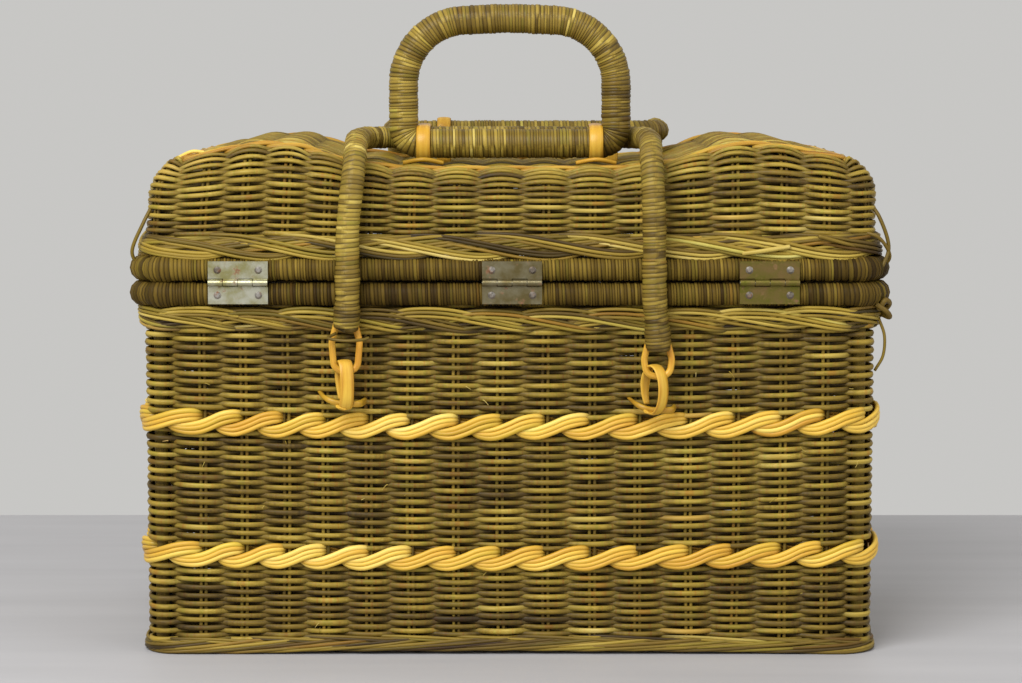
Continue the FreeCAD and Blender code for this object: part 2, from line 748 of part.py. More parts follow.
def loop(drop):
    """The cane loop on the end of an arm: a stirrup whose legs lie in grooves in the arm's sides."""
    half, corner, top = size("loop_half"), size("loop_corner"), drop + size("loop_overlap")
    points = [Vector(-half, 0, top), Vector(-half, 0, 0), Vector(half, 0, 0), Vector(half, 0, top)]
    return rod(rod_path(points, [corner, corner]), size("cane_radius"))


def groove(drop, leg):
    """The space for one leg of a loop."""
    length = drop / 2 + size("loop_overlap") + size("seat_gap")
    start = Vector(leg * size("loop_half"), 0, drop / 2)
    return Part.makeCylinder(size("cane_radius") + size("seat_gap"), length, start)


def opposite(shape):
    """The same shape on the -Y side."""
    return shape.mirror(Vector(0, 0, 0), Vector(0, 1, 0))


def keep_bail(prefix, solid, pivot, foot, on_back):
    """Keeps a bail and the two loops on its arms, moved to their own side of the hamper."""
    drop = (foot - pivot).Length
    place = Vector(size(f"{prefix}_x"), 0, 0)
    for name, at in (("left", -size("bail_half")), ("right", size("bail_half"))):
        solid = solid.cut([set_on_arm(groove(drop, leg), pivot, foot, at) for leg in (-1, 1)])
        stirrup = set_on_arm(loop(drop), pivot, foot, at)
        label = f"{prefix}_{name}_loop"
        keep(feature(label, opposite(stirrup) if on_back else stirrup, place), label)
    keep(feature(prefix, opposite(solid) if on_back else solid, place), prefix)


# the back bail is made on the +Y side too, and turned over
back_rod = bail(Vector(0, -back_crossbar.y, back_crossbar.z), size("back_bend"), [back_foot, back_knee])
keep_bail("back_bail", back_rod, back_pivot, back_foot, True)
front_rod = bail(front_crossbar, size("front_bend"), [front_foot])
keep_bail("front_bail", front_rod, front_pivot, front_foot, False)


# --------------------------------------------------------------------------- staples and links


def staple(side):
    """A cane staple whose ends are driven into the wall and whose bar stands clear of it."""
    half, corner = size("staple_half"), size("staple_corner")
    root = staple_wall - size("staple_root")
    points = [
        Vector(-half, side * root, 0),
        Vector(-half, side * staple_y, 0),
        Vector(half, side * staple_y, 0),
        Vector(half, side * root, 0),
    ]
    return rod(rod_path(points, [corner, corner]), size("cane_radius"))


def link(low, high):
    """An oval cane ring in the YZ plane, round two bars at these heights from the staple's bar."""
    room = size("cane_radius") + size("link_room")
    wide = size("link_wide")

    def oval(radius):
        """A stadium round both bars, as deep as the link is wide."""
        box = Part.makeBox(wide, 2 * radius, high - low, Vector(-wide / 2, -radius, low))
        centres = [Vector(-wide / 2, 0, z) for z in (low, high)]
        ends = [Part.makeCylinder(radius, wide, centre, Vector(1, 0, 0)) for centre in centres]
        return box.fuse(ends).removeSplitter()

    return oval(room + size("link_thick")).cut(oval(room))


link_length = size("link_pitch") + size("link_slack")
# the back links stand up to the back bail's loops, and the front ones hang
for prefix, side, reach in (("back", -1, (0, link_length)), ("front", 1, (-link_length, 0))):
    for name, at in (("left", -size("bail_half")), ("right", size("bail_half"))):
        place = Vector(size(f"{prefix}_bail_x") + at, 0, size("staple_z"))
        keep(feature(f"{prefix}_{name}_staple", staple(side), place), f"{prefix}_{name}_staple")
        ring = feature(f"{prefix}_{name}_link", link(*reach), place + Vector(0, side * staple_y, 0))
        keep(ring, f"{prefix}_{name}_link")


# --------------------------------------------------------------------------- the grip and its ties


def grip(bar):
    """The D-shaped carrying grip: a closed ring whose lower bar turns in the two ties."""
    half, high = size("grip_width") / 2, size("grip_height")
    top, low = size("grip_top_corner"), size("grip_low_corner")
    corners = [(-half, 0), (-half, high), (half, high), (half, 0)]
    points = [bar + Vector(x, 0, z) for x, z in corners]
    middle = bar
    path = rod_path([middle] + points + [middle], [low, top, top, low])
    solid = rod(path, size("grip_radius"))
    return solid


grip_ring = size("grip_radius") + size("grip_clearance")
apart = size("bail_radius") + size("grip_radius") + size("grip_bar_gap")
rise = grip_ring - crossbar_seat - size("back_bail_lift")
grip_bar = back_crossbar + Vector(0, -math.sqrt(apart * apart - rise * rise), rise)
keep(feature("grip", grip(grip_bar)), "grip")


def strap(circles, wide):
    """A band round two bars, each given as (centre, radius): their common hull, hollowed."""

    def hull(extra):
        """The solid round both circles, let out by extra."""
        (a, ra), (b, rb) = circles
        ra, rb = ra + extra, rb + extra
        run = b - a
        tilt = math.acos((ra - rb) / run.Length)
        heading = math.atan2(run.z, run.y)
        rims = []
        for sign in (1, -1):
            angle = heading + sign * tilt
            normal = Vector(0, math.cos(angle), math.sin(angle))
            rims.append((a + normal * ra, b + normal * rb))
        (a1, b1), (a2, b2) = rims
        back = (a - b).normalize() * ra + a
        front = (b - a).normalize() * rb + b
        wire = Part.Wire(
            [
                Part.LineSegment(a1, b1).toShape(),
                arc_between(b1, front, b2),
                Part.LineSegment(b2, a2).toShape(),
                arc_between(a2, back, a1),
            ]
        )
        face = Part.Face(wire)
        face.translate(Vector(-wide / 2, 0, 0))
        return face.extrude(Vector(wide, 0, 0))

    return hull(size("tie_thick")).cut(hull(0))


tie_shape = strap([(back_crossbar, crossbar_seat), (grip_bar, grip_ring)], size("tie_wide"))
for name, at in (("left", -1), ("right", 1)):
    tie = feature(f"grip_{name}_tie", tie_shape.copy(), Vector(at * size("tie_half"), 0, 0))
    keep(tie, f"grip_{name}_tie")


def lid_strap():
    """A cane strap over the front crossbar, with both ends let into the lid; the crossbar turns in it."""
    inner = size("bail_radius") + size("strap_clearance")
    wide = size("tie_wide")
    depth = front_crossbar.z - lid_top + size("strap_root")

    def arch(radius):
        """A half round over the crossbar with straight sides below."""
        half_round = Part.makeCylinder(radius, wide, front_crossbar - Vector(wide / 2, 0, 0), Vector(1, 0, 0))
        corner = front_crossbar - Vector(wide / 2, radius, depth)
        above = half_round.fuse(Part.makeBox(wide, 2 * radius, depth, corner))
        floor = Part.makeBox(wide, 2 * radius, radius, corner - Vector(0, 0, radius))
        return above.removeSplitter().cut(floor)

    return arch(inner + size("tie_thick")).cut(arch(inner))


for name, at in (("left", -1), ("right", 1)):
    place = Vector(size("front_bail_x") + at * size("tie_half"), 0, 0)
    keep(feature(f"lid_{name}_strap", lid_strap(), place), f"lid_{name}_strap")


# --------------------------------------------------------------------------- checks and files

doc.recompute()
for thing in doc.Objects:
    if "Invalid" in thing.State or "Error" in thing.State:
        raise SystemExit(f"{thing.Label} did not build: {thing.State}")
for label, thing in parts.items():
    if thing.Shape.isNull() or not thing.Shape.isValid() or not thing.Shape.Solids:
        raise SystemExit(f"{label} has no valid solid")

os.makedirs("parts", exist_ok=True)
for label, thing in parts.items():
    thing.Shape.exportStep(f"parts/{label}.step")
print(len(parts), "sub-parts written")
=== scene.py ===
"""The looks of a domed-lid wicker carrying hamper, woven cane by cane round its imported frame.

Sizes are in millimetres and angles in radians unless a name says otherwise. Every mesh is brought to
metres as it is built. +Z is up, +X runs along the hamper and -Y is the side with the butt hinges.
"""

import logging
import math
from abc import ABC, abstractmethod
from dataclasses import dataclass, replace
from enum import Enum
from typing import Callable

import bpy
import numpy as np
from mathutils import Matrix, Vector

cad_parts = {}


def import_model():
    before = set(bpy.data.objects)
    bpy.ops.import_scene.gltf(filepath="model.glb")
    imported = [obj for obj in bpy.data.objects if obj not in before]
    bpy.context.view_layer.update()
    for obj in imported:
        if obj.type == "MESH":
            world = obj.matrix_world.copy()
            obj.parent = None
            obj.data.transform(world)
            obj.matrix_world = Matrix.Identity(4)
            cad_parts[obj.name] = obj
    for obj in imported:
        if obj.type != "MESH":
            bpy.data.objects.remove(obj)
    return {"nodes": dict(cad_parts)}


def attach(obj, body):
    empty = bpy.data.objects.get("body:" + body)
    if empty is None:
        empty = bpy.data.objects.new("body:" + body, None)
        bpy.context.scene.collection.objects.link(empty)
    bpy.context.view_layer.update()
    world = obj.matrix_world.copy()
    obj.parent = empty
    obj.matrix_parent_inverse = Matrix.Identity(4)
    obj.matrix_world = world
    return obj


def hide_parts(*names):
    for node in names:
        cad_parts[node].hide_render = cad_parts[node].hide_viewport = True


MM = 0.001
SEED = 41507
QUARTER = math.pi / 2
UP = (0, 0, 1)
Array = np.ndarray
Values = Array | float
log = logging.getLogger("hamper")


def rng(name: str) -> np.random.Generator:
    """A generator of its own for each piece, so that a change to one leaves the others alone."""
    return np.random.default_rng([SEED, *name.encode()])


def xyz(*parts: Values) -> Array:
    """Points from their coordinates, each spread to the shape of the largest."""
    return np.stack(np.broadcast_arrays(*parts), -1)


def unit(vectors: Array) -> Array:
    """Vectors of length 1."""
    return vectors / np.maximum(np.linalg.norm(vectors, axis=-1, keepdims=True), 1e-12)


def ease(t: Values) -> Array:
    """A smooth step from 0 to 1."""
    t = np.clip(t, 0, 1)
    return t * t * (3 - 2 * t)


def distances(lines: Array) -> Array:
    """How far along its line each point lies, for one line or several."""
    steps = np.linalg.norm(np.diff(lines, axis=-2), axis=-1)
    return np.concatenate([np.zeros((*steps.shape[:-1], 1)), np.cumsum(steps, -1)], -1)


def smooth(t: Array, values: list | tuple) -> Array:
    """Values or points at t, along a smooth curve through the given ones, spaced evenly from 0 to 1."""
    values = np.asarray(values, float)
    last = len(values) - 1
    slopes = np.gradient(values, axis=0)
    index = np.minimum((t * last).astype(int), last - 1)
    x = (t * last - index).reshape(-1, *[1] * (values.ndim - 1))
    start, end = values[index], values[index + 1]
    bends = (x**3 - 2 * x**2 + x) * slopes[index] + (x**3 - x**2) * slopes[index + 1]
    return (2 * x**3 - 3 * x**2 + 1) * start + (3 * x**2 - 2 * x**3) * end + bends


def bent(corners: list, radii: list, step: float = 1.5) -> Array:
    """A line of straight runs joined by arcs.

    Args:
        corners: the corners, first to last.
        radii: the arc's radius at each inner corner.
        step: the spacing of the points.

    Returns:
        The points, (points, 3).
    """
    corners = [np.array(p, float) for p in corners]
    line = [corners[0]]
    for before, corner, after, radius in zip(corners, corners[1:], corners[2:], radii):
        back, on = unit(before - corner), unit(after - corner)
        half = math.acos(float(np.clip(back @ on, -1, 1))) / 2
        centre = corner + unit(back + on) * (radius / math.sin(half))
        start, end = (corner + way * radius / math.tan(half) - centre for way in (back, on))
        sweep = math.pi - 2 * half
        t = np.linspace(0, sweep, max(3, int(radius * sweep / step) + 2))[:, None]
        line.extend(centre + (np.sin(sweep - t) * start + np.sin(t) * end) / math.sin(sweep))
    line.append(corners[-1])
    dense = [line[0]]
    for a, b in zip(line, line[1:]):
        length = np.linalg.norm(b - a)
        pieces = max(1, int(length / step))
        dense.extend(a + (b - a) * (k + 1) / pieces for k in range(pieces) if length > 1e-6)
    return np.array(dense)


# ------------------------------------------------------------------ finishes


def _operator(operation: str, swapped: bool = False) -> Callable:
    """A method of Socket that adds a Math node."""

    def method(self: "Socket", other: "Socket | float") -> "Socket":
        """The two values together."""
        a, b = (other, self) if swapped else (self, other)
        return self.shader.node("ShaderNodeMath", {"operation": operation}, {0: a, 1: b})

    return method


class Socket:
    """One value in a shader, which adds Math nodes when it is used in an expression."""

    def __init__(self, shader: "Shader", source: bpy.types.NodeSocket | None) -> None:
        """Wraps a node's output."""
        self.shader, self.source = shader, source

    __add__, __mul__ = _operator("ADD"), _operator("MULTIPLY")
    __sub__, __rsub__ = _operator("SUBTRACT"), _operator("SUBTRACT", swapped=True)

    def clamped(self) -> "Socket":
        """This held between 0 and 1."""
        return self.shader.node("ShaderNodeClamp", {}, {"Value": self})

    def grey(self) -> "Socket":
        """This colour as one number."""
        return self.shader.node("ShaderNodeRGBToBW", {}, {0: self})


class Shader:
    """A node tree that is written as expressions."""

    def __init__(self, owner: bpy.types.Material | bpy.types.World) -> None:
        """Empties the owner's tree."""
        owner.use_nodes = True
        self.tree = owner.node_tree
        self.tree.nodes.clear()

    def node(self, kind: str, settings: dict, sockets: dict, output: int | str = 0) -> Socket:
        """Adds one node.

        Args:
            kind: the node's type.
            settings: attributes that are set first.
            sockets: values or links for its inputs, by name or number.
            output: which output is wanted.

        Returns:
            That output, ready for an expression.
        """
        made = self.tree.nodes.new(kind)
        for key, value in settings.items():
            setattr(made, key, value)
        for key, value in sockets.items():
            if isinstance(value, Socket):
                self.tree.links.new(value.source, made.inputs[key])
            else:
                made.inputs[key].default_value = value
        return Socket(self, made.outputs[output] if made.outputs else None)

    def attribute(self, name: str) -> Socket:
        """A number that the mesh carries at each point."""
        return self.node("ShaderNodeAttribute", {"attribute_name": name}, {}, "Fac")

    def place(self) -> Socket:
        """The point's place on the hamper, in metres."""
        return self.node("ShaderNodeTexCoord", {}, {}, "Object")

    def vector(self, x: Socket, y: Socket | float, z: Socket) -> Socket:
        """Three values as one vector."""
        return self.node("ShaderNodeCombineXYZ", {}, {0: x, 1: y, 2: z})

    def noise(self, where: Socket, scale: float = 1.0, detail: float = 2.0, rough: float = 0.5) -> Socket:
        """Soft noise, mostly 0.3 to 0.7."""
        sockets = {"Vector": where, "Scale": scale, "Detail": detail, "Roughness": rough}
        return self.node("ShaderNodeTexNoise", {}, sockets)

    def ramp(self, value: Socket, stops: tuple) -> Socket:
        """A colour for each value, from stops of place and colour."""
        made = self.node("ShaderNodeValToRGB", {}, {0: value})
        elements = made.source.node.color_ramp.elements
        for place, _ in stops[len(elements) :]:
            elements.new(place)
        for element, (place, colour) in zip(elements, stops):
            element.position, element.color = place, (*colour, 1)
        return made

    def mix(self, factor: Socket, a: Socket | tuple, b: Socket | tuple, how: str = "MIX") -> Socket:
        """Two colours mixed."""
        a, b = (colour if isinstance(colour, Socket) else (*colour, 1) for colour in (a, b))
        settings = {"data_type": "RGBA", "blend_type": how}
        return self.node("ShaderNodeMix", settings, {0: factor, 6: a, 7: b}, 2)

    def bump(self, height: Socket, strength: float, distance: float) -> Socket:
        """A normal that is tilted by a height in millimetres."""
        sockets = {"Height": height, "Strength": strength, "Distance": distance * MM}
        return self.node("ShaderNodeBump", {}, sockets, "Normal")

    def surface(self, sockets: dict) -> None:
        """Ends the tree with a surface of these values."""
        made = self.node("ShaderNodeBsdfPrincipled", {}, sockets)
        self.node("ShaderNodeOutputMaterial", {}, {"Surface": made})


def fade(low: float, high: float, start: float = 0.0, end: float = 1.0) -> tuple:
    """Ramp stops that go from one grey to another between two values."""
    return ((low, (start,) * 3), (high, (end,) * 3))


FEW_RED = fade(0.66, 0.74, end=0.6)
GREEN_TO = fade(0.34, 0.44, 1.0, 0.0)
REDDISH = (1.0, 0.80, 0.72)
GREENISH = (0.90, 1.0, 0.86)
# the near-black of the painted shade where canes lie deep in the weave
PAINTED_SHADE = (0.022, 0.014, 0.006)
RUST_DARK, RUST_PALE = (0.115, 0.048, 0.018), (0.24, 0.11, 0.045)


@dataclass(frozen=True)
class CaneFinish:
    """Cane that is toned strand by strand, with streaks along it and painted shade where it lies deep."""

    name: str
    stops: tuple  # colours from the darkest strands to the palest
    streak: float = 0.5
    blotch: float = 0.4
    rough: float = 0.5
    # how strongly the painted shade darkens the cane where it lies deep
    shade_strength: float = 0.8
    coat: float = 0.0
    red_from: tuple = fade(0.58, 0.68)  # which strands have turned reddish
    shine: float = 0.22

    def paint(self, s: Shader) -> None:
        """Writes the finish as nodes."""
        tone, run, spin = (s.attribute(name) for name in ("tone", "run", "spin"))
        # noise in streaks along each cane, in finer fibres, and in kinds of cane that differ in hue
        streaks = s.noise(s.vector(run * 0.028, spin * 4.0, tone * 57.0), detail=3.0, rough=0.6)
        blotches = s.noise(s.place(), 21.0)
        fibres = s.noise(s.vector(run * 0.09, spin * 26.0, tone * 91.0), rough=0.6)
        value = tone + (streaks - 0.5) * self.streak + (blotches - 0.5) * self.blotch
        value = value + (fibres - 0.5) * 0.22
        colour = s.ramp(value.clamped(), self.stops)
        kind = s.noise(s.vector(run * 0.004, 0.0, tone * 143.0), detail=1.0)
        colour = s.mix(s.ramp(kind, self.red_from), colour, REDDISH, "MULTIPLY")
        colour = s.mix(s.ramp(kind, GREEN_TO), colour, GREENISH, "MULTIPLY")
        # painted shade: canes that lie deep in the weave, and their inner sides, are darkened towards
        # near-black
        deep = (s.attribute("sunk") * self.shade_strength).clamped()
        s.surface(
            {
                "Base Color": s.mix(deep, colour, PAINTED_SHADE),
                "Roughness": fibres * 0.3 + (self.rough - 0.15),
                "Normal": s.bump(fibres, 0.35, 0.25),
                "Specular IOR Level": self.shine,
                "Coat Weight": self.coat,
                "Coat Roughness": 0.3,
            }
        )


@dataclass(frozen=True)
class PlateFinish:
    """Thin tinned steel that has tarnished, with rust in spots."""

    name: str
    base: tuple
    tarnish: tuple
    rust: float = 0.05
    rough: float = 0.38

    def paint(self, s: Shader) -> None:
        """Writes the finish as nodes."""
        at = s.place()
        cloud, grain = s.noise(at, 75.0, 4.0, 0.6), s.noise(at, 900.0)
        rust = s.ramp(s.noise(at, 160.0, 4.0, 0.7) + self.rust * 0.5, fade(0.60, 0.72))
        rusty = s.mix(grain, RUST_DARK, RUST_PALE)
        tin = s.mix(s.ramp(cloud, fade(0.38, 0.62)), self.base, self.tarnish)
        s.surface(
            {
                "Base Color": s.mix(rust, tin, rusty),
                "Metallic": 0.85 - rust.grey() * 0.8,
                "Roughness": grain * 0.2 + rust.grey() * 0.35 + (self.rough - 0.1),
                "Normal": s.bump(cloud + grain * 0.3, 0.3, 0.3),
            }
        )


KHAKI = (
    (0.0, (0.034, 0.020, 0.005)),
    (0.22, (0.092, 0.056, 0.009)),
    (0.48, (0.192, 0.124, 0.016)),
    (0.72, (0.330, 0.226, 0.030)),
    (0.9, (0.47, 0.35, 0.075)),
    (1.0, (0.56, 0.44, 0.15)),
)
PEELED = (
    (0.0, (0.34, 0.145, 0.014)),
    (0.3, (0.54, 0.28, 0.026)),
    (0.65, (0.74, 0.47, 0.060)),
    (1.0, (0.90, 0.68, 0.18)),
)
WOUND = (
    (0.0, (0.036, 0.021, 0.005)),
    (0.3, (0.105, 0.066, 0.011)),
    (0.6, (0.225, 0.150, 0.024)),
    (0.85, (0.40, 0.285, 0.050)),
    (1.0, (0.56, 0.43, 0.105)),
)


class Finish(Enum):
    """The finishes of the hamper's pieces, each made once."""

    WEAVE = CaneFinish("weave_cane", KHAKI, streak=0.62, shade_strength=1.0)
    STAKE = CaneFinish("stake_cane", KHAKI, shade_strength=0.6)
    BORDER = CaneFinish("border_cane", KHAKI, shade_strength=0.9)
    HONEY = CaneFinish("honey_cane", PEELED, blotch=0.25, rough=0.42, shade_strength=0.6, coat=0.1, red_from=FEW_RED)
    LINK = CaneFinish("link_cane", PEELED, streak=0.95, blotch=0.7, rough=0.38, shade_strength=0.7, coat=0.2)
    RIM = CaneFinish("rim_winding", WOUND, shade_strength=1.0, red_from=FEW_RED, shine=0.06)
    ROD = CaneFinish("rod_winding", WOUND, rough=0.46, red_from=FEW_RED, shine=0.2)
    GRIP = CaneFinish("grip_winding", WOUND, rough=0.40, shade_strength=0.9, coat=0.05, red_from=FEW_RED, shine=0.16)
    TIN_LEFT = PlateFinish("tinned_leaf_bright", (0.46, 0.455, 0.36), (0.28, 0.26, 0.11), rust=0.0)
    TIN_MID = PlateFinish("tinned_leaf_dull", (0.215, 0.19, 0.115), (0.135, 0.105, 0.04))
    TIN_RIGHT = PlateFinish("tinned_leaf_brown", (0.20, 0.135, 0.045), (0.14, 0.13, 0.018))
    STEEL = PlateFinish("hinge_wire", (0.42, 0.40, 0.30), (0.20, 0.18, 0.10), rust=0.08)
    NAIL = PlateFinish("nail_heads", (0.33, 0.31, 0.28), (0.16, 0.13, 0.10), rust=0.16, rough=0.45)


_made: dict[Finish, bpy.types.Material] = {}


def material_of(finish: Finish) -> bpy.types.Material:
    """The finish's material, made when it is first asked for."""
    if finish not in _made:
        _made[finish] = bpy.data.materials.new(finish.value.name)
        finish.value.paint(Shader(_made[finish]))
    return _made[finish]


# ------------------------------------------------------------------ canes as meshes


def place_object(name: str, data: bpy.types.ID) -> bpy.types.Object:
    """A new object of the scene that holds this data."""
    made = bpy.data.objects.new(name, data)
    bpy.context.scene.collection.objects.link(made)
    return made


class Rod:
    """A bent rod: its centre line, with a frame that doesn't twist along it."""

    def __init__(self, line: Array, radius: float, up: tuple, closed: bool = False) -> None:
        """Works out the frame along the line, which starts with its outer side towards up."""
        if closed:
            line = np.concatenate([line, line[:1]])
        line = line[np.diff(distances(line), prepend=-1) > 1e-6]
        self.at = distances(line)
        self.length = float(self.at[-1])
        self.line, self.radius, self.closed = line, radius, closed
        self.lumps: list[tuple[float, float, float]] = []  # where, how long and how high each one is
        if closed:
            wrapped = np.concatenate([line[-2:-1], line, line[1:2]])
            ahead = unit(wrapped[2:] - wrapped[:-2])
        else:
            ahead = unit(np.gradient(line, axis=0))
        out = [np.array(up, float)]
        for t in ahead:
            out.append(unit(out[-1] - (out[-1] @ t) * t))
        self.out = np.array(out[1:])
        self.side = np.cross(ahead, self.out)

    def frame_at(self, where: Array) -> list[Array]:
        """The centre line's points, outer sides and cross sides at these distances."""
        return [
            np.stack([np.interp(where, self.at, column) for column in values.T], -1)
            for values in (self.line, self.out, self.side)
        ]

    def swelling(self, where: Array) -> Array:
        """How much the lumps add to the radius."""
        total = np.zeros(where.shape)
        for middle, length, height in self.lumps:
            total += height * np.exp(-(((where - middle) / length) ** 4))
        return total


@dataclass(frozen=True)
class Winding:
    """How flat cane is wound on a rod."""

    pitch: float
    groove: float
    tone: float
    tone_spread: float
    uneven: float
    lump: float
    sides: int = 12
    marks: tuple = (0.0, 0.1, 0.3, 0.6, 0.88)  # places across the cane
    depths: tuple = (1.0, 0.25, 0.0, 0.0, 0.25)  # share of the groove there, and of its painted shade


class Canes:
    """Canes that are gathered into one mesh, with what their finish reads at every point."""

    TURN_APART = 46.0  # how far on the finish reads the next turn of a winding, so that no two match
    TURN_SPIN = 0.16  # the part of a cane's spin that a winding shows
    DRIFT = 0.09  # how much a winding's tone drifts along its rod
    DRIFTS = 12  # and how often
    SQUEEZED = 0.4  # a winding's last turn is squeezed into this much of its rod's end

    def __init__(self) -> None:
        """Starts with no canes."""
        self.points: list[Array] = []
        self.quads: list[Array] = []
        self.caps: list[Array] = []
        self.values: dict[str, list[Array]] = {}
        self.count = 0

    def _keep(self, points: Array, **values: Values) -> None:
        """Stores points and their values: tone, run along the cane, spin across it and how sunk they lie,
        for the painted shade.
        """
        self.points.append(points.reshape(-1, 3))
        for key, value in values.items():
            self.values.setdefault(key, []).append(np.broadcast_to(value, points.shape[:-1]).reshape(-1))
        self.count += points[..., 0].size

    def lay(
        self,
        paths: Array,
        thick: Values,
        up: Array | tuple,
        wide: Values | None = None,
        sides: int = 6,
        closed: bool = False,
        tones: Values = 0.5,
        sunk: Values = 0.0,
    ) -> "Canes":
        """Adds canes that follow the given paths.

        Args:
            paths: points of every cane, (canes, points, 3), or one cane's (points, 3).
            thick: half the cane's thickness along up.
            up: the direction that the cane's outer face looks in.
            wide: half its width across up; as thick when left out.
            sides: faces round the cane.
            closed: True for canes that run round and join.
            tones: where it stands between the darkest colour and the palest.
            sunk: 0 where a cane lies on the outside, up to 1 where it lies deep; the finish paints shade
                from it.

        Returns:
            All the canes so far.
        """
        paths = paths[None] if paths.ndim == 2 else paths
        m, n, _ = paths.shape
        ahead = unit(np.roll(paths, -1, 1) - np.roll(paths, 1, 1) if closed else np.gradient(paths, axis=1))
        up = np.broadcast_to(up, paths.shape)
        out = unit(up - (up * ahead).sum(-1, keepdims=True) * ahead)
        side = np.cross(ahead, out)
        angle = np.arange(sides) * (2 * math.pi / sides) + math.pi / sides * (sides % 2)
        thick, wide, tones, sunk = (
            np.broadcast_to(value, (m, n))[..., None]
            for value in (thick, thick if wide is None else wide, tones, sunk)
        )
        rings = paths[:, :, None] + (thick * np.cos(angle))[..., None] * out[:, :, None]
        rings = rings + (wide * np.sin(angle))[..., None] * side[:, :, None]
        ids = self.count + np.arange(m * n * sides).reshape(m, n, sides)
        here, there = (ids, np.roll(ids, -1, 1)) if closed else (ids[:, :-1], ids[:, 1:])
        quads = np.stack([here, np.roll(here, -1, 2), np.roll(there, -1, 2), there], -1)
        self.quads.append(quads.reshape(-1, 4))
        if not closed:
            self.caps.extend(ids[:, 0, ::-1])
            self.caps.extend(ids[:, -1])
        spin = 0.5 - 0.5 * np.cos(angle)  # 0 on the outer side of a cane and 1 on its inner side
        # painted shade: deeper canes are darker, and their inner sides darker still
        shade = sunk * 0.75 + 0.25 * spin * (sunk > 0)
        self._keep(rings, tone=tones, run=distances(paths)[..., None], spin=spin, sunk=shade)
        return self

    def wind(self, rod: Rod, winding: Winding, name: str) -> "Canes":
        """Adds the winding of a rod: one flat cane that runs round it from end to end.

        Args:
            rod: the rod's centre line and thickness.
            winding: the pitch and the tones of the turns.
            name: seeds its irregularities.

        Returns:
            All the canes so far.
        """
        r = rng(name)
        turns = max(3, round(rod.length / winding.pitch))
        edges = np.append(0, np.cumsum(winding.pitch * np.exp(r.normal(0, winding.uneven, turns))))
        edges *= rod.length / edges[-1]
        per, sides = len(winding.marks), winding.sides
        turn = np.repeat(np.arange(turns), per)
        share, depth = np.tile(winding.marks, turns), np.tile(winding.depths, turns)
        at = edges[turn] + share * (edges[turn + 1] - edges[turn])
        if not rod.closed:
            last = ((turn, turns - 1), (share, 0.0), (depth, winding.depths[0]), (at, rod.length))
            turn, share, depth, at = (np.append(values, value) for values, value in last)
        swell = r.normal(0, winding.lump, turns)
        lead = np.arange(sides) / sides
        # the winding climbs by one turn for each time round
        where = at[:, None] + (edges[turn + 1] - edges[turn])[:, None] * lead
        if rod.closed:
            where = where % rod.length
        else:
            late = np.maximum(where - rod.length + self.SQUEEZED, 0)
            where = where - late * (1 - self.SQUEEZED / (late.max() + 1e-3))
        points, out, side = rod.frame_at(where)
        angle = lead * 2 * math.pi
        depth, turn = depth[:, None], turn[:, None]
        radius = rod.radius + rod.swelling(where) - depth * winding.groove + swell[turn] * (1 - depth)
        surface = points + radius[..., None] * (np.cos(angle)[:, None] * out + np.sin(angle)[:, None] * side)

        rings = len(at)
        ids = self.count + np.arange(rings * sides).reshape(rings, sides)
        rows = np.arange(rings if rod.closed else rings - 1)

        def on(k: int) -> Array:
            """The points of the ring that is k further on than each row's."""
            return ids[(rows + k) % rings if rod.closed else np.minimum(rows + k, rings - 1)]

        here, there = on(0), on(1)
        right, right_there = np.roll(here, -1, 1), np.roll(there, -1, 1)
        right[:, -1], right_there[:, -1] = on(per)[:, 0], on(per + 1)[:, 0]
        quads = np.stack([here, right, right_there, there], -1).reshape(-1, 4)
        flat = quads[:, 1] == quads[:, 2]
        self.quads.append(quads[~flat])
        if not rod.closed:
            self.caps.extend(quads[flat][:, [0, 1, 3]])
            self.caps.append(np.concatenate([ids[0], ids[per:0:-1, 0]])[::-1])
            self.caps.append(ids[-1])
        tone = r.normal(winding.tone, winding.tone_spread, turns)
        drift = r.normal(0, self.DRIFT, self.DRIFTS)
        tone += np.interp(np.arange(turns), np.linspace(0, turns, self.DRIFTS), drift)
        run = turn * self.TURN_APART + angle * rod.radius
        # painted shade in the grooves between the turns, where the cane lies deep
        self._keep(surface, tone=tone[turn], run=run, spin=share[:, None] * self.TURN_SPIN, sunk=depth)
        return self

    def piece(self, name: str, body: str, slot: str, finish: Finish, *nodes: str) -> None:
        """Makes the mesh, hangs it on its body and hides the frame's nodes that it stands for.

        Args:
            name: the piece's name.
            body: the body that it moves with.
            slot: not used.
            finish: its finish.
            nodes: the frame's nodes that it stands for.
        """
        points, quads = np.concatenate(self.points) * MM, np.concatenate(self.quads)
        sizes = np.concatenate([np.full(len(quads), 4), [len(c) for c in self.caps]]).astype(np.int32)
        corners = np.concatenate([quads.reshape(-1), *self.caps]).astype(np.int32)
        starts = (np.cumsum(sizes) - sizes).astype(np.int32)
        mesh = bpy.data.meshes.new(name)
        for elements, count, key, values in (
            (mesh.vertices, len(points), "co", points.astype(np.float32).reshape(-1)),
            (mesh.loops, len(corners), "vertex_index", corners),
            (mesh.polygons, len(sizes), "loop_start", starts),
        ):
            elements.add(count)
            elements.foreach_set(key, values)
        mesh.polygons.foreach_set("use_smooth", np.arange(len(sizes)) < len(quads))
        mesh.update(calc_edges=True)
        for key, parts in self.values.items():
            layer = mesh.attributes.new(key, "FLOAT", "POINT")
            layer.data.foreach_set("value", np.concatenate(parts).astype(np.float32))
        mesh.materials.append(material_of(finish))
        made = place_object(name, mesh)
        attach(made, body)
        if nodes:
            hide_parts(*nodes)
        log.info("%s: %s triangles on %s", name, int((sizes - 2).sum()), body)


# ------------------------------------------------------------------ where the weave runs


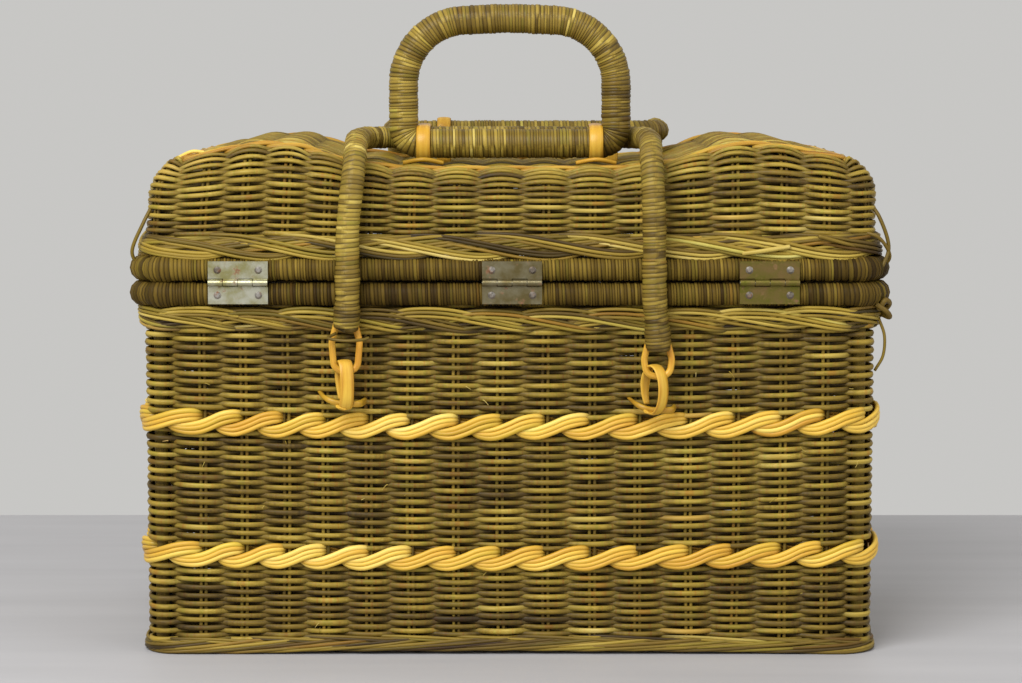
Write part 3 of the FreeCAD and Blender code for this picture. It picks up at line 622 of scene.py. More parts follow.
@dataclass(frozen=True)
class Outline:
    """The hamper's plan, a rounded rectangle that is run round from the middle of the hinge side."""

    half_x: float = 237.0
    half_y: float = 125.0
    corner: float = 22.0

    @property
    def length(self) -> float:
        """Once round."""
        return 4 * (self.half_x + self.half_y) - (8 - 2 * math.pi) * self.corner

    def at(self, s: Values, out: Values = 0.0) -> tuple[Array, Array, Array, Array]:
        """Points on the outline, or moved outwards from it.

        Args:
            s: distances along it from the middle of the hinge side, towards +X.
            out: how far outwards.

        Returns:
            x, y, and the outward direction's x and y.
        """
        s = np.mod(s, self.length)
        lx, ly, arc = self.half_x - self.corner, self.half_y - self.corner, QUARTER * self.corner
        runs = [lx, arc, 2 * ly, arc, 2 * lx, arc, 2 * ly, arc, lx]
        ends = np.cumsum(runs)
        index = np.minimum(np.searchsorted(ends, s, side="right"), len(runs) - 1)
        t = s - (ends - runs)[index]
        heading = index // 2 * QUARTER
        is_arc = index % 2 == 1
        turn = heading + np.where(is_arc, t / self.corner, 0)
        nx, ny = np.sin(turn), -np.cos(turn)
        # the arcs' middles, and the straight runs' starts
        cx = np.array([0, lx, self.half_x, lx, lx, -lx, -self.half_x, -lx, -lx])[index]
        cy = np.array([-self.half_y, -ly, -ly, ly, self.half_y, ly, ly, -ly, -self.half_y])[index]
        along = np.where(is_arc, 0, t)
        beyond = np.where(is_arc, self.corner, 0) + out
        return cx + np.cos(heading) * along + nx * beyond, cy + np.sin(heading) * along + ny * beyond, nx, ny


class Knots:
    """The places where stakes and corner posts stand, counted round the outline from its start."""

    LONG = (0.0, 28.2, 56.4, 84.6, 112.9, 141.1, 169.3, 197.5)
    SHORT = (-85.5, -57.0, -28.5, 0.0, 28.5, 57.0, 85.5)
    # how the hinge side's stakes stray from even spacing, to the right and to the left
    LEAN = (-5.5, -5.0, -3.4, -2.4, 2.4, 2.6, 5.6, 4.6)
    LEAN_LEFT = (-6.2, -6.6, -5.8, -5.0, -3.1, -1.7, 0.2)

    count = 48
    corners = np.r_[8, 16, 32, 40]
    hinge_side = np.r_[0:8, 41:48]
    long_sides = np.r_[0:8, 17:32, 41:48]
    ends = np.r_[9:16, 33:40]
    ends_and_corners = np.r_[8:17, 32:41]

    def __init__(self, outline: Outline) -> None:
        """Finds each knot's distance round the outline."""
        lx, ly = outline.half_x - outline.corner, outline.half_y - outline.corner
        arc, total = QUARTER * outline.corner, outline.length
        near_corner = lx + arc / 2
        far_corner = near_corner + arc + 2 * ly
        end = lx + arc + ly
        outwards = self.LONG[:0:-1]
        self.total = total
        self.s = np.array(
            [
                *(x + stray for x, stray in zip(self.LONG, self.LEAN)),
                near_corner,
                *(end + y for y in self.SHORT),
                far_corner,
                *(total / 2 + x for x in (*(-x for x in outwards), *self.LONG)),
                total - far_corner,
                *(total - end + y for y in self.SHORT),
                total - near_corner,
                *(total - x + stray for x, stray in zip(outwards, self.LEAN_LEFT[::-1])),
            ]
        )
        self._u = np.arange(-2, self.count + 3)
        self._s = np.concatenate([self.s[-2:] - total, self.s, self.s[:3] + total])

    def distance(self, u: Array) -> Array:
        """The distance round the outline at a count of knots, which may lie between two."""
        whole = np.floor_divide(u, self.count)
        return np.interp(u - whole * self.count, self._u, self._s) + whole * self.total

    def gap(self, u: Array, knot: float) -> Array:
        """How many knots u lies past this one, the shorter way round."""
        return (u - knot + self.count / 2) % self.count - self.count / 2

    def near_corner(self, u: Array) -> Array:
        """1 at a corner's knot, falling to 0 at the stakes beside it."""
        gap = np.minimum.reduce([np.abs(self.gap(u, c)) for c in self.corners])
        return 0.5 + 0.5 * np.cos(np.pi * np.minimum(gap, 1))


OUTLINE = Outline()
KNOTS = Knots(OUTLINE)
STEPS = 8  # points between two knots
ROUND = np.arange(KNOTS.count * STEPS) / STEPS  # once round, in knots
STAKE_DEPTH = 3.7  # from the weave's outer face to the stakes' middle


class Surface(ABC):
    """A surface that canes are laid on."""

    @abstractmethod
    def at(self, u: Array, up: Values, out: Values) -> tuple[Array, Array]:
        """Points on the surface, and the directions that it faces there.

        Args:
            u: the place round the hamper, in knots.
            up: the height on the walls, or the distance up the lid's side and on round its edge.
            out: how far outside the surface.
        """


class Wall(Surface):
    """The surface of the body's walls."""

    HEIGHT = 225.0
    TAPER = 1.0  # how much further in the foot stands than the top
    LOWEST = 1.3

    def sag(self, s: Values, z: Array) -> Array:
        """How far a row dips in the middle of a long side, because the old weave has settled."""
        depth = np.interp(z, [0, 14, 30, 66, 152, 200, 225], [-2.8, -1.6, 0.8, 4.4, 4.8, 2.4, 0.6])
        return depth * (1 - (OUTLINE.at(s)[0] / OUTLINE.half_x) ** 2)

    def at(self, u: Array, up: Values, out: Values) -> tuple[Array, Array]:
        """Points on the walls, whose rows are given by their height before the weave sagged."""
        u, z, out = np.broadcast_arrays(u, up, out)
        s = KNOTS.distance(u)
        x, y, nx, ny = OUTLINE.at(s, out)
        inward = self.TAPER * (1 - z / self.HEIGHT)
        x, y = x * (1 - inward / OUTLINE.half_x), y * (1 - inward / OUTLINE.half_y)
        return xyz(x, y, np.maximum(z - self.sag(s, z), self.LOWEST)), xyz(nx, ny, 0.0)


class LidShell(Surface):
    """The surface of the lid: upright sides, a rounded edge all round, and a top that dips in the middle."""

    FOOT = 256.0
    EDGE = 22.0  # the rounded edge's radius
    HUMP = 7.5  # how much higher both humps stand than the frame's
    INWARDS = 0.021  # how far the left end leans in, as a share of x
    TOP = ((-250, 0, 311.7), (-157, 0, 326), (-72, 0, 313), (72, 0, 313), (157, 0, 326), (250, 0, 311.7))

    def __init__(self) -> None:
        """Works out the line of the top along the hamper."""
        self.top_x, _, self.top_z = bent(self.TOP, [150, 260, 260, 150], 2.0).T

    def top(self, x: Array) -> Array:
        """The height of the top at x."""
        return np.interp(x, self.top_x, self.top_z)

    def drawn(self, points: Array) -> Array:
        """Points moved as the old weave has: both humps stand up a little and the left end leans inwards."""
        x, y, z = (points[..., i] for i in range(3))
        share = np.clip((z - self.FOOT) / 58, 0, 1)
        # each hump has risen by 140 mm out, and falls off again towards the end
        hump = self.HUMP * ease((np.abs(x) - 108) / 32) * (1 - 0.4 * ease((np.abs(x) - 160) / 60))
        inset = np.minimum(OUTLINE.half_y - np.abs(y), OUTLINE.half_x - np.abs(x))
        dome = 1 - (1 - np.clip(inset / 60, 0, 1)) ** 2
        return xyz(x * (1 - np.where(x < 0, self.INWARDS, 0.0) * share), y, z + hump * dome * share)

    def side_height(self, u: Array) -> Array:
        """The height of the upright part of the sides."""
        x, _, nx, _ = OUTLINE.at(KNOTS.distance(u))
        return self.top(x - nx * self.EDGE) - self.EDGE - self.FOOT

    def at(self, u: Array, up: Values, out: Values) -> tuple[Array, Array]:
        """Points on the lid's sides and its rounded edge."""
        u, up, out = np.broadcast_arrays(u, up, out)
        upright = self.side_height(u)
        angle = np.clip((up - upright) / self.EDGE, 0, QUARTER)
        sine, cosine = np.sin(angle), np.cos(angle)
        beyond = np.maximum(up - upright - self.EDGE * QUARTER, 0)
        x, y, nx, ny = OUTLINE.at(KNOTS.distance(u), out * cosine - self.EDGE * (1 - cosine) - beyond)
        z = self.FOOT + np.minimum(up, upright) + self.EDGE * sine + out * sine
        return self.drawn(xyz(x, y, z)), xyz(nx * cosine, ny * cosine, sine)


WALL = Wall()
LID = LidShell()


def wander(r: np.random.Generator, rows: int, u: Array, every: float, size: float) -> Array:
    """A smooth random value for each row that changes about once every so many knots and closes up."""
    knots = max(4, int(KNOTS.count / every))
    marks = r.normal(0, size, (rows, knots))
    at = u / KNOTS.count * knots
    low = np.floor(at).astype(int)
    t = ease(at - low)
    return marks[:, low % knots] * (1 - t) + marks[:, (low + 1) % knots] * t


def crossing(rows: int, u: Array, phase: int = 0) -> Array:
    """1 where a row passes in front of a stake and -1 behind it, with every second row the other way."""
    return np.cos(np.pi * u) * np.where((np.arange(rows)[:, None] + phase) % 2 == 0, 1, -1)


@dataclass(frozen=True)
class Weave:
    """Rows of cane that run round the hamper, in front of one stake and behind the next."""

    name: str
    surface: Surface
    low: float
    high: float
    tone: float
    pitch: float = 2.72
    half_thick: float = 1.2
    half_high: float = 1.53
    swing: float = 2.6
    corner_swing: float = 7.4
    corner_inset: float = 8.0
    follows: bool = False  # whether the rows rise and fall with the lid's top
    phase: int = 0
    arch: float = 0.0  # how much further the highest rows swing
    square: float = 0.12  # how much squarer than a plain wave a row's swing is
    crowding: float = 1.25  # how far towards the lid's edge the rows share out the rise of its top
    palest: float = 0.78
    widest_gap: float = 1.3
    gap_reach: tuple = (0.8, 2.5)  # how far a gap spreads, in knots and in rows

    def canes(self) -> Canes:
        """The rows."""
        r, u, tall = rng(self.name), ROUND, self.high - self.low
        count = max(2, round(tall / self.pitch))
        share = (np.arange(count)[:, None] + 0.5) / count
        swing = crossing(count, u, self.phase)
        in_front = 0.5 + 0.5 * swing
        corner = KNOTS.near_corner(u)
        inset = STAKE_DEPTH + (self.corner_inset - STAKE_DEPTH) * corner
        reach = (self.swing + (self.corner_swing - self.swing) * corner) * (1 + self.arch * share**3)
        out = reach * ((1 + self.square) * swing - self.square * swing**3)
        out = out - inset + wander(r, count, u, 1.0, 0.16)
        height = self.low + tall * share
        height = height + wander(r, count, u, 1.0, 0.17) + wander(r, count, u, 7.0, 0.18)
        height = height + self.gaps(r, count, u)
        room = 1.0
        if self.follows:
            rise = LID.side_height(u) - LID.side_height(np.zeros(1))
            height = height + rise * share**self.crowding
            room = 1 + rise * self.crowding * share ** (self.crowding - 1) / tall
        points, facing = self.surface.at(u, height, out)
        # canes are fuller and narrower where they come forward, and painted paler there as lit and darker
        # behind as shaded
        body = 1 + wander(r, count, u, 3.0, 0.07) + 0.13 * in_front
        tones = r.normal(self.tone, 0.08, (count, 1)) + wander(r, count, u, 4.0, 0.14)
        tones = tones + 0.10 * (in_front - 0.5) + np.where(r.random((count, 1)) < 0.04, 0.12, 0)
        tones = np.minimum(tones, self.palest)
        wide = self.half_high * body * room * (1.24 - 0.24 * in_front)
        # painted shade where a row passes behind a stake
        sunk = np.clip(1.06 - in_front * 1.16, 0, 1)
        return Canes().lay(points, self.half_thick * body, facing, wide, closed=True, tones=tones, sunk=sunk)

    def gaps(self, r: np.random.Generator, count: int, u: Array) -> Array:
        """Rows pushed apart here and there, where the weave has opened."""
        across, along = self.gap_reach
        shift = np.zeros((count, len(u)))
        for _ in range(count // 3):
            row, at, size = r.integers(1, count), r.uniform(0, KNOTS.count), r.uniform(0.1, 0.38)
            push = size * np.exp(-((KNOTS.gap(u, at) / across) ** 2))
            shift[row:] += push * np.exp(-np.arange(count - row) / along)[:, None]
            shift[:row] -= push * np.exp(-np.arange(row)[::-1] / along)[:, None]
        return np.clip(shift, -self.widest_gap, self.widest_gap)


# ------------------------------------------------------------------ the hamper


LINK_Y = 138.21777777777777
LINK_Z = 161.5  # the staples' height, where the links turn
BACK_CROSSBAR = (-25.0, 329.65)  # y and z
FRONT_CROSSBAR = (25.0, 332.5)
BACK_MIDDLE, FRONT_MIDDLE = -5.0, 12.0  # the x that each bail stands round
WALL_INSIDE = 121.3  # the y at which the stakes stand, and the crescents' ends
SPLIT_HALF, SPLIT_WIDE = 1.0, 4.7  # half the thickness and width of split honey cane


@dataclass
class Body:
    """The woven body: its walls, stakes, corner posts and base."""

    fields: tuple = (
        ("wall_weave_low", 1.6, 61.8, 0.42),
        ("wall_weave_mid", 71.6, 147.2, 0.48),
        ("wall_weave_high", 157.0, 227.0, 0.5),
    )  # the weave below, between and above the honey bands: from, to and tone
    stake_half: float = 1.16
    stake_apart: float = 1.62  # half the distance between a pair's canes
    post_radius: float = 4.4
    post_depth: float = 8.9  # from the weave's outer face to a post's middle
    base_reach: float = 228.0  # half the length of the base's sticks
    base_lanes: float = 94.9  # how far out the outermost stick lies
    base_z: float = 8.4
    lane_pitch: float = 23.7
    mat_pitch: float = 2.95
    mat_swing: float = 3.0

    def build(self) -> None:
        """Makes the body's pieces."""
        for phase, (name, low, high, tone) in enumerate(self.fields):
            canes = Weave(name, WALL, low, high, tone, phase=phase).canes()
            canes.piece(name, "basket", "wicker", Finish.WEAVE, "body_weave")
        self.stakes("wall_stakes_long", KNOTS.long_sides, "long_wall_stakes")
        self.stakes("wall_stakes_short", KNOTS.ends, "end_wall_stakes")
        self.posts()
        self.base()

    def stakes(self, name: str, knots: Array, node: str) -> None:
        """The pairs of canes that the rows cross at these knots."""
        r, canes, z = rng(name), Canes(), np.linspace(1.0, 224.0, 40)
        for s in KNOTS.s[knots]:
            bow = r.normal(0, 0.8) * np.sin(z / WALL.HEIGHT * math.pi)
            for side in (-1, 1):
                along = s + bow + side * (self.stake_apart + r.uniform(-0.12, 0.2))
                x, y, nx, ny = OUTLINE.at(along, -STAKE_DEPTH)
                points, facing = xyz(x, y, z - WALL.sag(s, z)), xyz(nx, ny, 0.0)
                # the stakes lie within the weave and get a painted shade
                canes.lay(points, self.stake_half, facing, tones=r.normal(0.46, 0.12), sunk=0.32)
        canes.piece(name, "basket", "stake", Finish.STAKE, node)

    def posts(self) -> None:
        """The thick rods in the corners."""
        r, canes = rng("posts"), Canes()
        for s in KNOTS.s[KNOTS.corners]:
            x, y, nx, ny = OUTLINE.at(s, -self.post_depth)
            points, facing = xyz(x, y, np.linspace(1.0, 222.0, 24)), xyz(nx, ny, 0.0)
            # the posts lie behind the weave and get a painted shade
            canes.lay(points, self.post_radius, facing, sides=12, tones=r.normal(0.45, 0.08), sunk=0.3)
        canes.piece("corner_rods", "basket", "stake", Finish.STAKE, "corner_posts")

    def base(self) -> None:
        """The woven mat of the base over nine sticks."""
        r, sticks = rng("base"), Canes()
        for lane in np.linspace(-4, 4, 9) * (self.base_lanes / 4):
            points = xyz(np.linspace(-self.base_reach, self.base_reach, 60), lane, self.base_z)
            # the sticks lie under the mat and get a painted shade
            sticks.lay(points, 2.0, UP, sides=8, tones=r.normal(0.42, 0.08), sunk=0.2)
        sticks.piece("base_rods", "basket", "stake", Finish.STAKE, "base_sticks")
        at = np.arange(-226.5, 227, self.mat_pitch)[:, None]
        lanes = np.linspace(-4.85, 4.85, 67)
        at = at + r.normal(0, 0.12, at.shape)
        points = xyz(at, lanes * self.lane_pitch, 7.6 + self.mat_swing * crossing(len(at), lanes))
        # painted shade on the mat where its canes pass below the sticks, and a little all over
        mat = Canes().lay(points, 1.25, UP, 1.45, 5, tones=r.normal(0.45, 0.12, at.shape), sunk=0.35)
        mat.piece("base_mat", "basket", "wicker", Finish.WEAVE, "base_panel")


@dataclass(frozen=True)
class Bundle:
    """One bundle of canes in a border or a band, which is repeated round the hamper.

    The lists give places along the bundle: knots past its start, height, distance outside the wall, and the
    spacing of its canes there. The name seeds its irregularities.
    """

    name: str
    middle: float | Callable[[Array], Array]
    along: tuple
    height: tuple
    out: tuple
    spread: tuple
    canes: int = 3
    half: float = 1.25
    samples: int = 22
    straying: float = 0.25
    tone: float = 0.5
    tone_spread: float = 0.12
    every: float = 1.0  # knots from one bundle to the next
    shade_strength: float = 0.5  # how dark the painted shade makes them where they lie deep

    def lay(self, canes: Canes, surface: Surface) -> None:
        """Adds all its repeats, on this surface, to the canes."""
        r, t = rng(self.name), np.linspace(0, 1, self.samples)
        along, height, out, spread = (smooth(t, v) for v in (self.along, self.height, self.out, self.spread))
        count = round(KNOTS.count / self.every)
        knots = np.repeat(np.arange(count) * (KNOTS.count / count), self.canes)[:, None]
        rank = np.tile(np.arange(self.canes) - (self.canes - 1) / 2, count)[:, None]
        per_bundle = np.repeat(r.normal(0, self.straying, (count, 2)), self.canes, 0)
        u = knots + along + per_bundle[:, :1] * 0.1
        stray = r.normal(0, self.straying * 0.4, knots.shape)
        middle = self.middle(u) if callable(self.middle) else self.middle
        z = middle + height + rank * spread + per_bundle[:, 1:] * 0.6 + stray
        lift = out - 0.35 * np.abs(rank) + stray * 0.5 - KNOTS.near_corner(u)
        points, facing = surface.at(u, z, lift)
        tones = np.repeat(r.normal(self.tone, self.tone_spread * 0.6, count), self.canes)[:, None]
        tones = tones + r.normal(0, self.tone_spread, knots.shape)
        # each cane is thinner at its two ends, where it goes in between the others
        ends = np.clip(1 - np.minimum(t, 1 - t) * 14, 0.12, 1)
        body = self.half * (1 - 0.45 * (ends - 0.12)) * (1 + r.normal(0, 0.05, knots.shape))
        # painted shade where a cane goes in deep between the others
        sunk = np.clip(np.clip((1.2 - lift) / 4.0, 0, 1) * self.shade_strength * 2, 0, 1)
        canes.lay(points, body, facing, sides=8, tones=tones, sunk=sunk)


HONEY = Bundle(
    "honey",
    0.0,
    along=(-0.68, -0.46, -0.16, 0.15, 0.46, 0.72, 0.88, 1.0),
    height=(-1.8, -4.3, -4.3, -1.4, 2.4, 4.1, 4.2, 3.6),
    out=(-1.6, 0.1, 1.3, 1.9, 1.8, 1.1, -0.5, -5.8),
    spread=(0.6, 1.7, 2.75, 3.0, 2.95, 2.7, 2.3, 1.7),
    half=1.66, samples=24, tone=0.58,
)
LID_HONEY = Bundle(
    "lid_honey",
    lambda u: LID.side_height(u) + LID.EDGE * 1.62,
    along=(-0.62, -0.42, -0.15, 0.15, 0.45, 0.72, 0.88, 1.0),
    height=(-1.6, -2.2, -1.8, -0.6, 1.0, 1.8, 1.9, 1.8),
    out=(-3.0, -2.0, -1.1, -0.5, -0.5, -1.2, -2.2, -4.4),
    spread=(0.7, 1.4, 1.9, 2.1, 2.1, 2.0, 1.9, 1.9),
    half=1.2, samples=20, tone=0.36,
)
FOOT = (
    Bundle(
        "foot_low",
        4.1,
        along=(-2.0, -1.1, 0.1, 1.1, 1.9),
        height=(-3.0, -2.6, -0.4, 2.6, 4.4),
        out=(-3.0, 0.4, 1.0, 0.2, -3.0),
        spread=(1.0, 1.8, 2.1, 1.8, 1.0),
        canes=2, half=1.14, samples=26, straying=0.6, tone=0.42, tone_spread=0.2, shade_strength=0.45,
    ),
    Bundle(
        "foot_high",
        7.6,
        along=(-1.4, -0.7, 0.2, 0.9, 1.4),
        height=(1.4, 1.2, -0.2, -1.4, -1.6),
        out=(-3.0, -0.2, 0.4, -0.4, -3.0),
        spread=(0.8, 1.5, 1.8, 1.6, 1.0),
        canes=2, half=1.0, straying=0.6, tone=0.40, tone_spread=0.2, every=1.6, shade_strength=0.45,
    ),
)
TOP = (
    Bundle(
        "top_rise",
        217.0,
        along=(-1.9, -1.1, -0.2, 0.7, 1.4, 1.9),
        height=(-5.2, -4.4, -1.4, 2.4, 4.4, 4.4),
        out=(-2.6, 0.3, 0.9, 0.9, 0.2, -2.6),
        spread=(0.9, 1.9, 2.3, 2.1, 1.9, 1.0),
        canes=2, half=1.04, samples=30, straying=0.6, tone=0.40, tone_spread=0.19, every=1.2, shade_strength=0.9,
    ),
    Bundle(
        "top_arc",
        216.6,
        along=(-1.5, -1.15, -0.6, 0.2, 1.0, 1.8, 2.3),
        height=(-3.2, 1.2, 4.7, 4.4, 0.6, -3.8, -5.2),
        out=(-2.8, 0.8, 2.5, 2.7, 2.1, 1.1, -2.6),
        spread=(0.8, 1.6, 2.2, 2.5, 2.4, 1.9, 0.9),
        half=1.08, samples=32, straying=0.55, tone=0.48, tone_spread=0.18, every=1.37, shade_strength=0.9,
    ),
)
LID_FOOT = (
    Bundle(
        "lid_wave",
        6.8,
        along=(-2.2, -1.3, -0.4, 0.5, 1.2, 1.9),
        height=(6.4, 5.0, 0.6, -4.4, -6.0, -3.2),
        out=(-2.4, 1.2, 2.4, 2.8, 2.4, -1.6),
        spread=(0.9, 2.0, 2.3, 2.2, 2.0, 0.9),
        half=1.15, samples=30, straying=0.7, tone=0.53, tone_spread=0.19, every=1.6,
    ),
    Bundle(
        "lid_under",
        7.4,
        along=(-1.9, -1.0, 0.0, 1.0, 1.9),
        height=(-4.4, -1.8, 1.6, 4.6, 5.8),
        out=(-2.4, 0.8, 1.4, 0.8, -2.4),
        spread=(0.9, 1.9, 2.2, 2.0, 1.0),
        canes=2, half=1.2, samples=26, straying=0.6, tone=0.48, tone_spread=0.16, every=1.2,
    ),
)


@dataclass
class Trims:
    """The honey bands and the plaited borders of the body and the lid."""

    bands: tuple = (("honey_band_low", 66.5, "low_band"), ("honey_band_high", 152.0, "high_band"))
    plaits: tuple = (
        ("foot_plait", "basket", "border", Finish.BORDER, "foot_border", FOOT),
        ("rim_plait", "basket", "border", Finish.BORDER, "body_border", TOP),
        ("lid_plait", "lid", "border", Finish.BORDER, "lid_border", LID_FOOT),
        ("honey_band_lid", "lid", "honey_band", Finish.HONEY, "lid_band", (LID_HONEY,)),
    )

    def build(self) -> None:
        """Makes the bands and borders."""
        rank = np.array([-4.6, -1.6, 1.5, 4.6])[:, None]
        for name, z, node in self.bands:
            canes = Canes()
            replace(HONEY, name=name, middle=z).lay(canes, WALL)
            # four rows behind the band, which are its canes on the inside
            ripple = 0.7 * np.cos(2 * np.pi * ROUND) + wander(rng(name), len(rank), ROUND, 2.0, 0.2)
            points, facing = WALL.at(ROUND, z + rank + ripple, -6.6 - 3.6 * KNOTS.near_corner(ROUND))
            # painted shade on these rows, which lie deep behind the band
            canes.lay(points, 1.3, facing, wide=1.7, closed=True, tones=0.35, sunk=0.8)
            canes.piece(name, "basket", "honey_band", Finish.HONEY, node)
        for name, body, slot, finish, node, bundles in self.plaits:
            canes = Canes()
            for bundle in bundles:
                bundle.lay(canes, WALL if body == "basket" else LID)
            canes.piece(name, body, slot, finish, node)


@dataclass
class Lid:
    """The woven lid: its sides, its top and the stakes that run up and over."""

    sides: Weave = Weave(
        "lid_sides", LID, 1.5, 66.5, 0.61, pitch=2.25, half_thick=1.15, half_high=1.28, corner_swing=3.4,
        corner_inset=4.6, follows=True, arch=0.3,
    )
    top_end: float = 219.0  # where the rows of the top stop, inside the end walls
    top_rows: int = 66
    top_pitch: float = 3.0
    top_swing: float = 2.5
    last_stake: float = 226.0  # where the rows would cross one more stake, past their ends
    stake_half: float = 1.15
    stake_bend: float = 18.3
    over_edge: float = 30.0  # how far the end stakes run on, over the lid's edge

    def build(self) -> None:
        """Makes the lid's pieces."""
        self.sides.canes().piece("lid_weave_sides", "lid", "wicker", Finish.WEAVE, "lid_weave")
        self.top()
        self.stakes()

    def top(self) -> None:
        """Rows along the top, over stakes that run from front to back."""
        r, rows = rng("lid_top"), self.top_rows
        y = (np.arange(rows)[:, None] - (rows - 1) / 2) * self.top_pitch
        between = sorted(OUTLINE.at(s)[0] for s in KNOTS.s[KNOTS.hinge_side])
        xs = [-self.last_stake, *between, self.last_stake]
        u = np.arange((len(xs) - 1) * STEPS + 1) / STEPS
        x = np.interp(u, np.arange(len(xs)), xs)
        keep = np.abs(x) < self.top_end
        u, x = u[keep], x[keep]
        swing = crossing(rows, u)
        in_front = 0.5 + 0.5 * swing
        wobble = r.normal(0, 0.2, (rows, 1)) + r.normal(0, 0.12, swing.shape)
        points = LID.drawn(xyz(x, y + wobble, LID.top(x) - STAKE_DEPTH + self.top_swing * swing))
        # painted light and shade: rows paler where they pass in front of a stake and darker where they pass
        # behind
        tones = r.normal(0.5, 0.12, (rows, 1)) + 0.08 * in_front
        canes = Canes().lay(points, 1.15, UP, 1.5, tones=tones, sunk=np.clip(1 - in_front * 1.25, 0, 1))
        canes.piece("lid_weave_top", "lid", "wicker", Finish.WEAVE)

    def stakes(self) -> None:
        """Pairs of canes up the long sides and over the top, and up the ends."""
        r, canes = rng("lid_stakes"), Canes()
        for s in KNOTS.s[KNOTS.hinge_side]:
            x = float(OUTLINE.at(s)[0])
            low, top, y = LID.FOOT + 1, float(LID.top(x)) - STAKE_DEPTH, WALL_INSIDE
            line = bent([(0, -y, low), (0, -y, top), (0, y, top), (0, y, low)], [self.stake_bend] * 2, 4.0)
            facing = unit((line - (0, 0, top - 30)) * (1, 0.4, 1))
            for side in (-1, 1):
                shift = (x + side * (1.6 + r.uniform(-0.1, 0.2)), 0, 0)
                tones = r.normal(0.42, 0.1)
                # the stakes lie within the weave and get a painted shade
                canes.lay(LID.drawn(line + shift), self.stake_half, facing, tones=tones, sunk=0.25)
        canes.piece("lid_stakes_long", "lid", "stake", Finish.STAKE, "lid_stakes")
        canes = Canes()
        share = np.linspace(1 / 80, 1, 30)
        for knot in KNOTS.ends_and_corners:
            reach = float(LID.side_height(np.array([float(knot)]))[0]) + self.over_edge
            for side in (-1, 1):
                points, facing = LID.at(np.full(30, knot + side * 0.055), share * reach, -STAKE_DEPTH)
                # the stakes lie within the weave and get a painted shade
                canes.lay(points, self.stake_half, facing, tones=r.normal(0.42, 0.1), sunk=0.25)
        canes.piece("lid_stakes_short", "lid", "stake", Finish.STAKE, "lid_end_stakes")


@dataclass
class Rims:
    """The two wound rims that meet where the lid shuts."""

    radius: float = 7.4
    rims: tuple = (("rim_body", 232.5, "basket", "body_rim"), ("rim_lid", 248.5, "lid", "lid_rim"))
    outline: Outline = Outline(236.5, 124.5, 21.5)
    lumps: tuple = (
        (-222, 8, 1.3), (-206, 5, 0.8), (-240, 7, 1.1), (226, 8, 1.1), (243, 7, 0.8), (205, 5, 0.5)
    )
    winding: Winding = Winding(2.05, groove=0.7, tone=0.26, tone_spread=0.11, uneven=0.24, lump=0.2)

    def build(self) -> None:
        """Makes both rims."""
        length = self.outline.length
        x, y, _, _ = self.outline.at(np.linspace(0, length, 900, endpoint=False))
        for name, z, body, node in self.rims:
            rod = Rod(xyz(x, y, z), self.radius, UP, closed=True)
            rod.lumps = [(at % length, long, high) for at, long, high in self.lumps]
            Canes().wind(rod, self.winding, name).piece(name, body, "wrapped_rim", Finish.RIM, node)


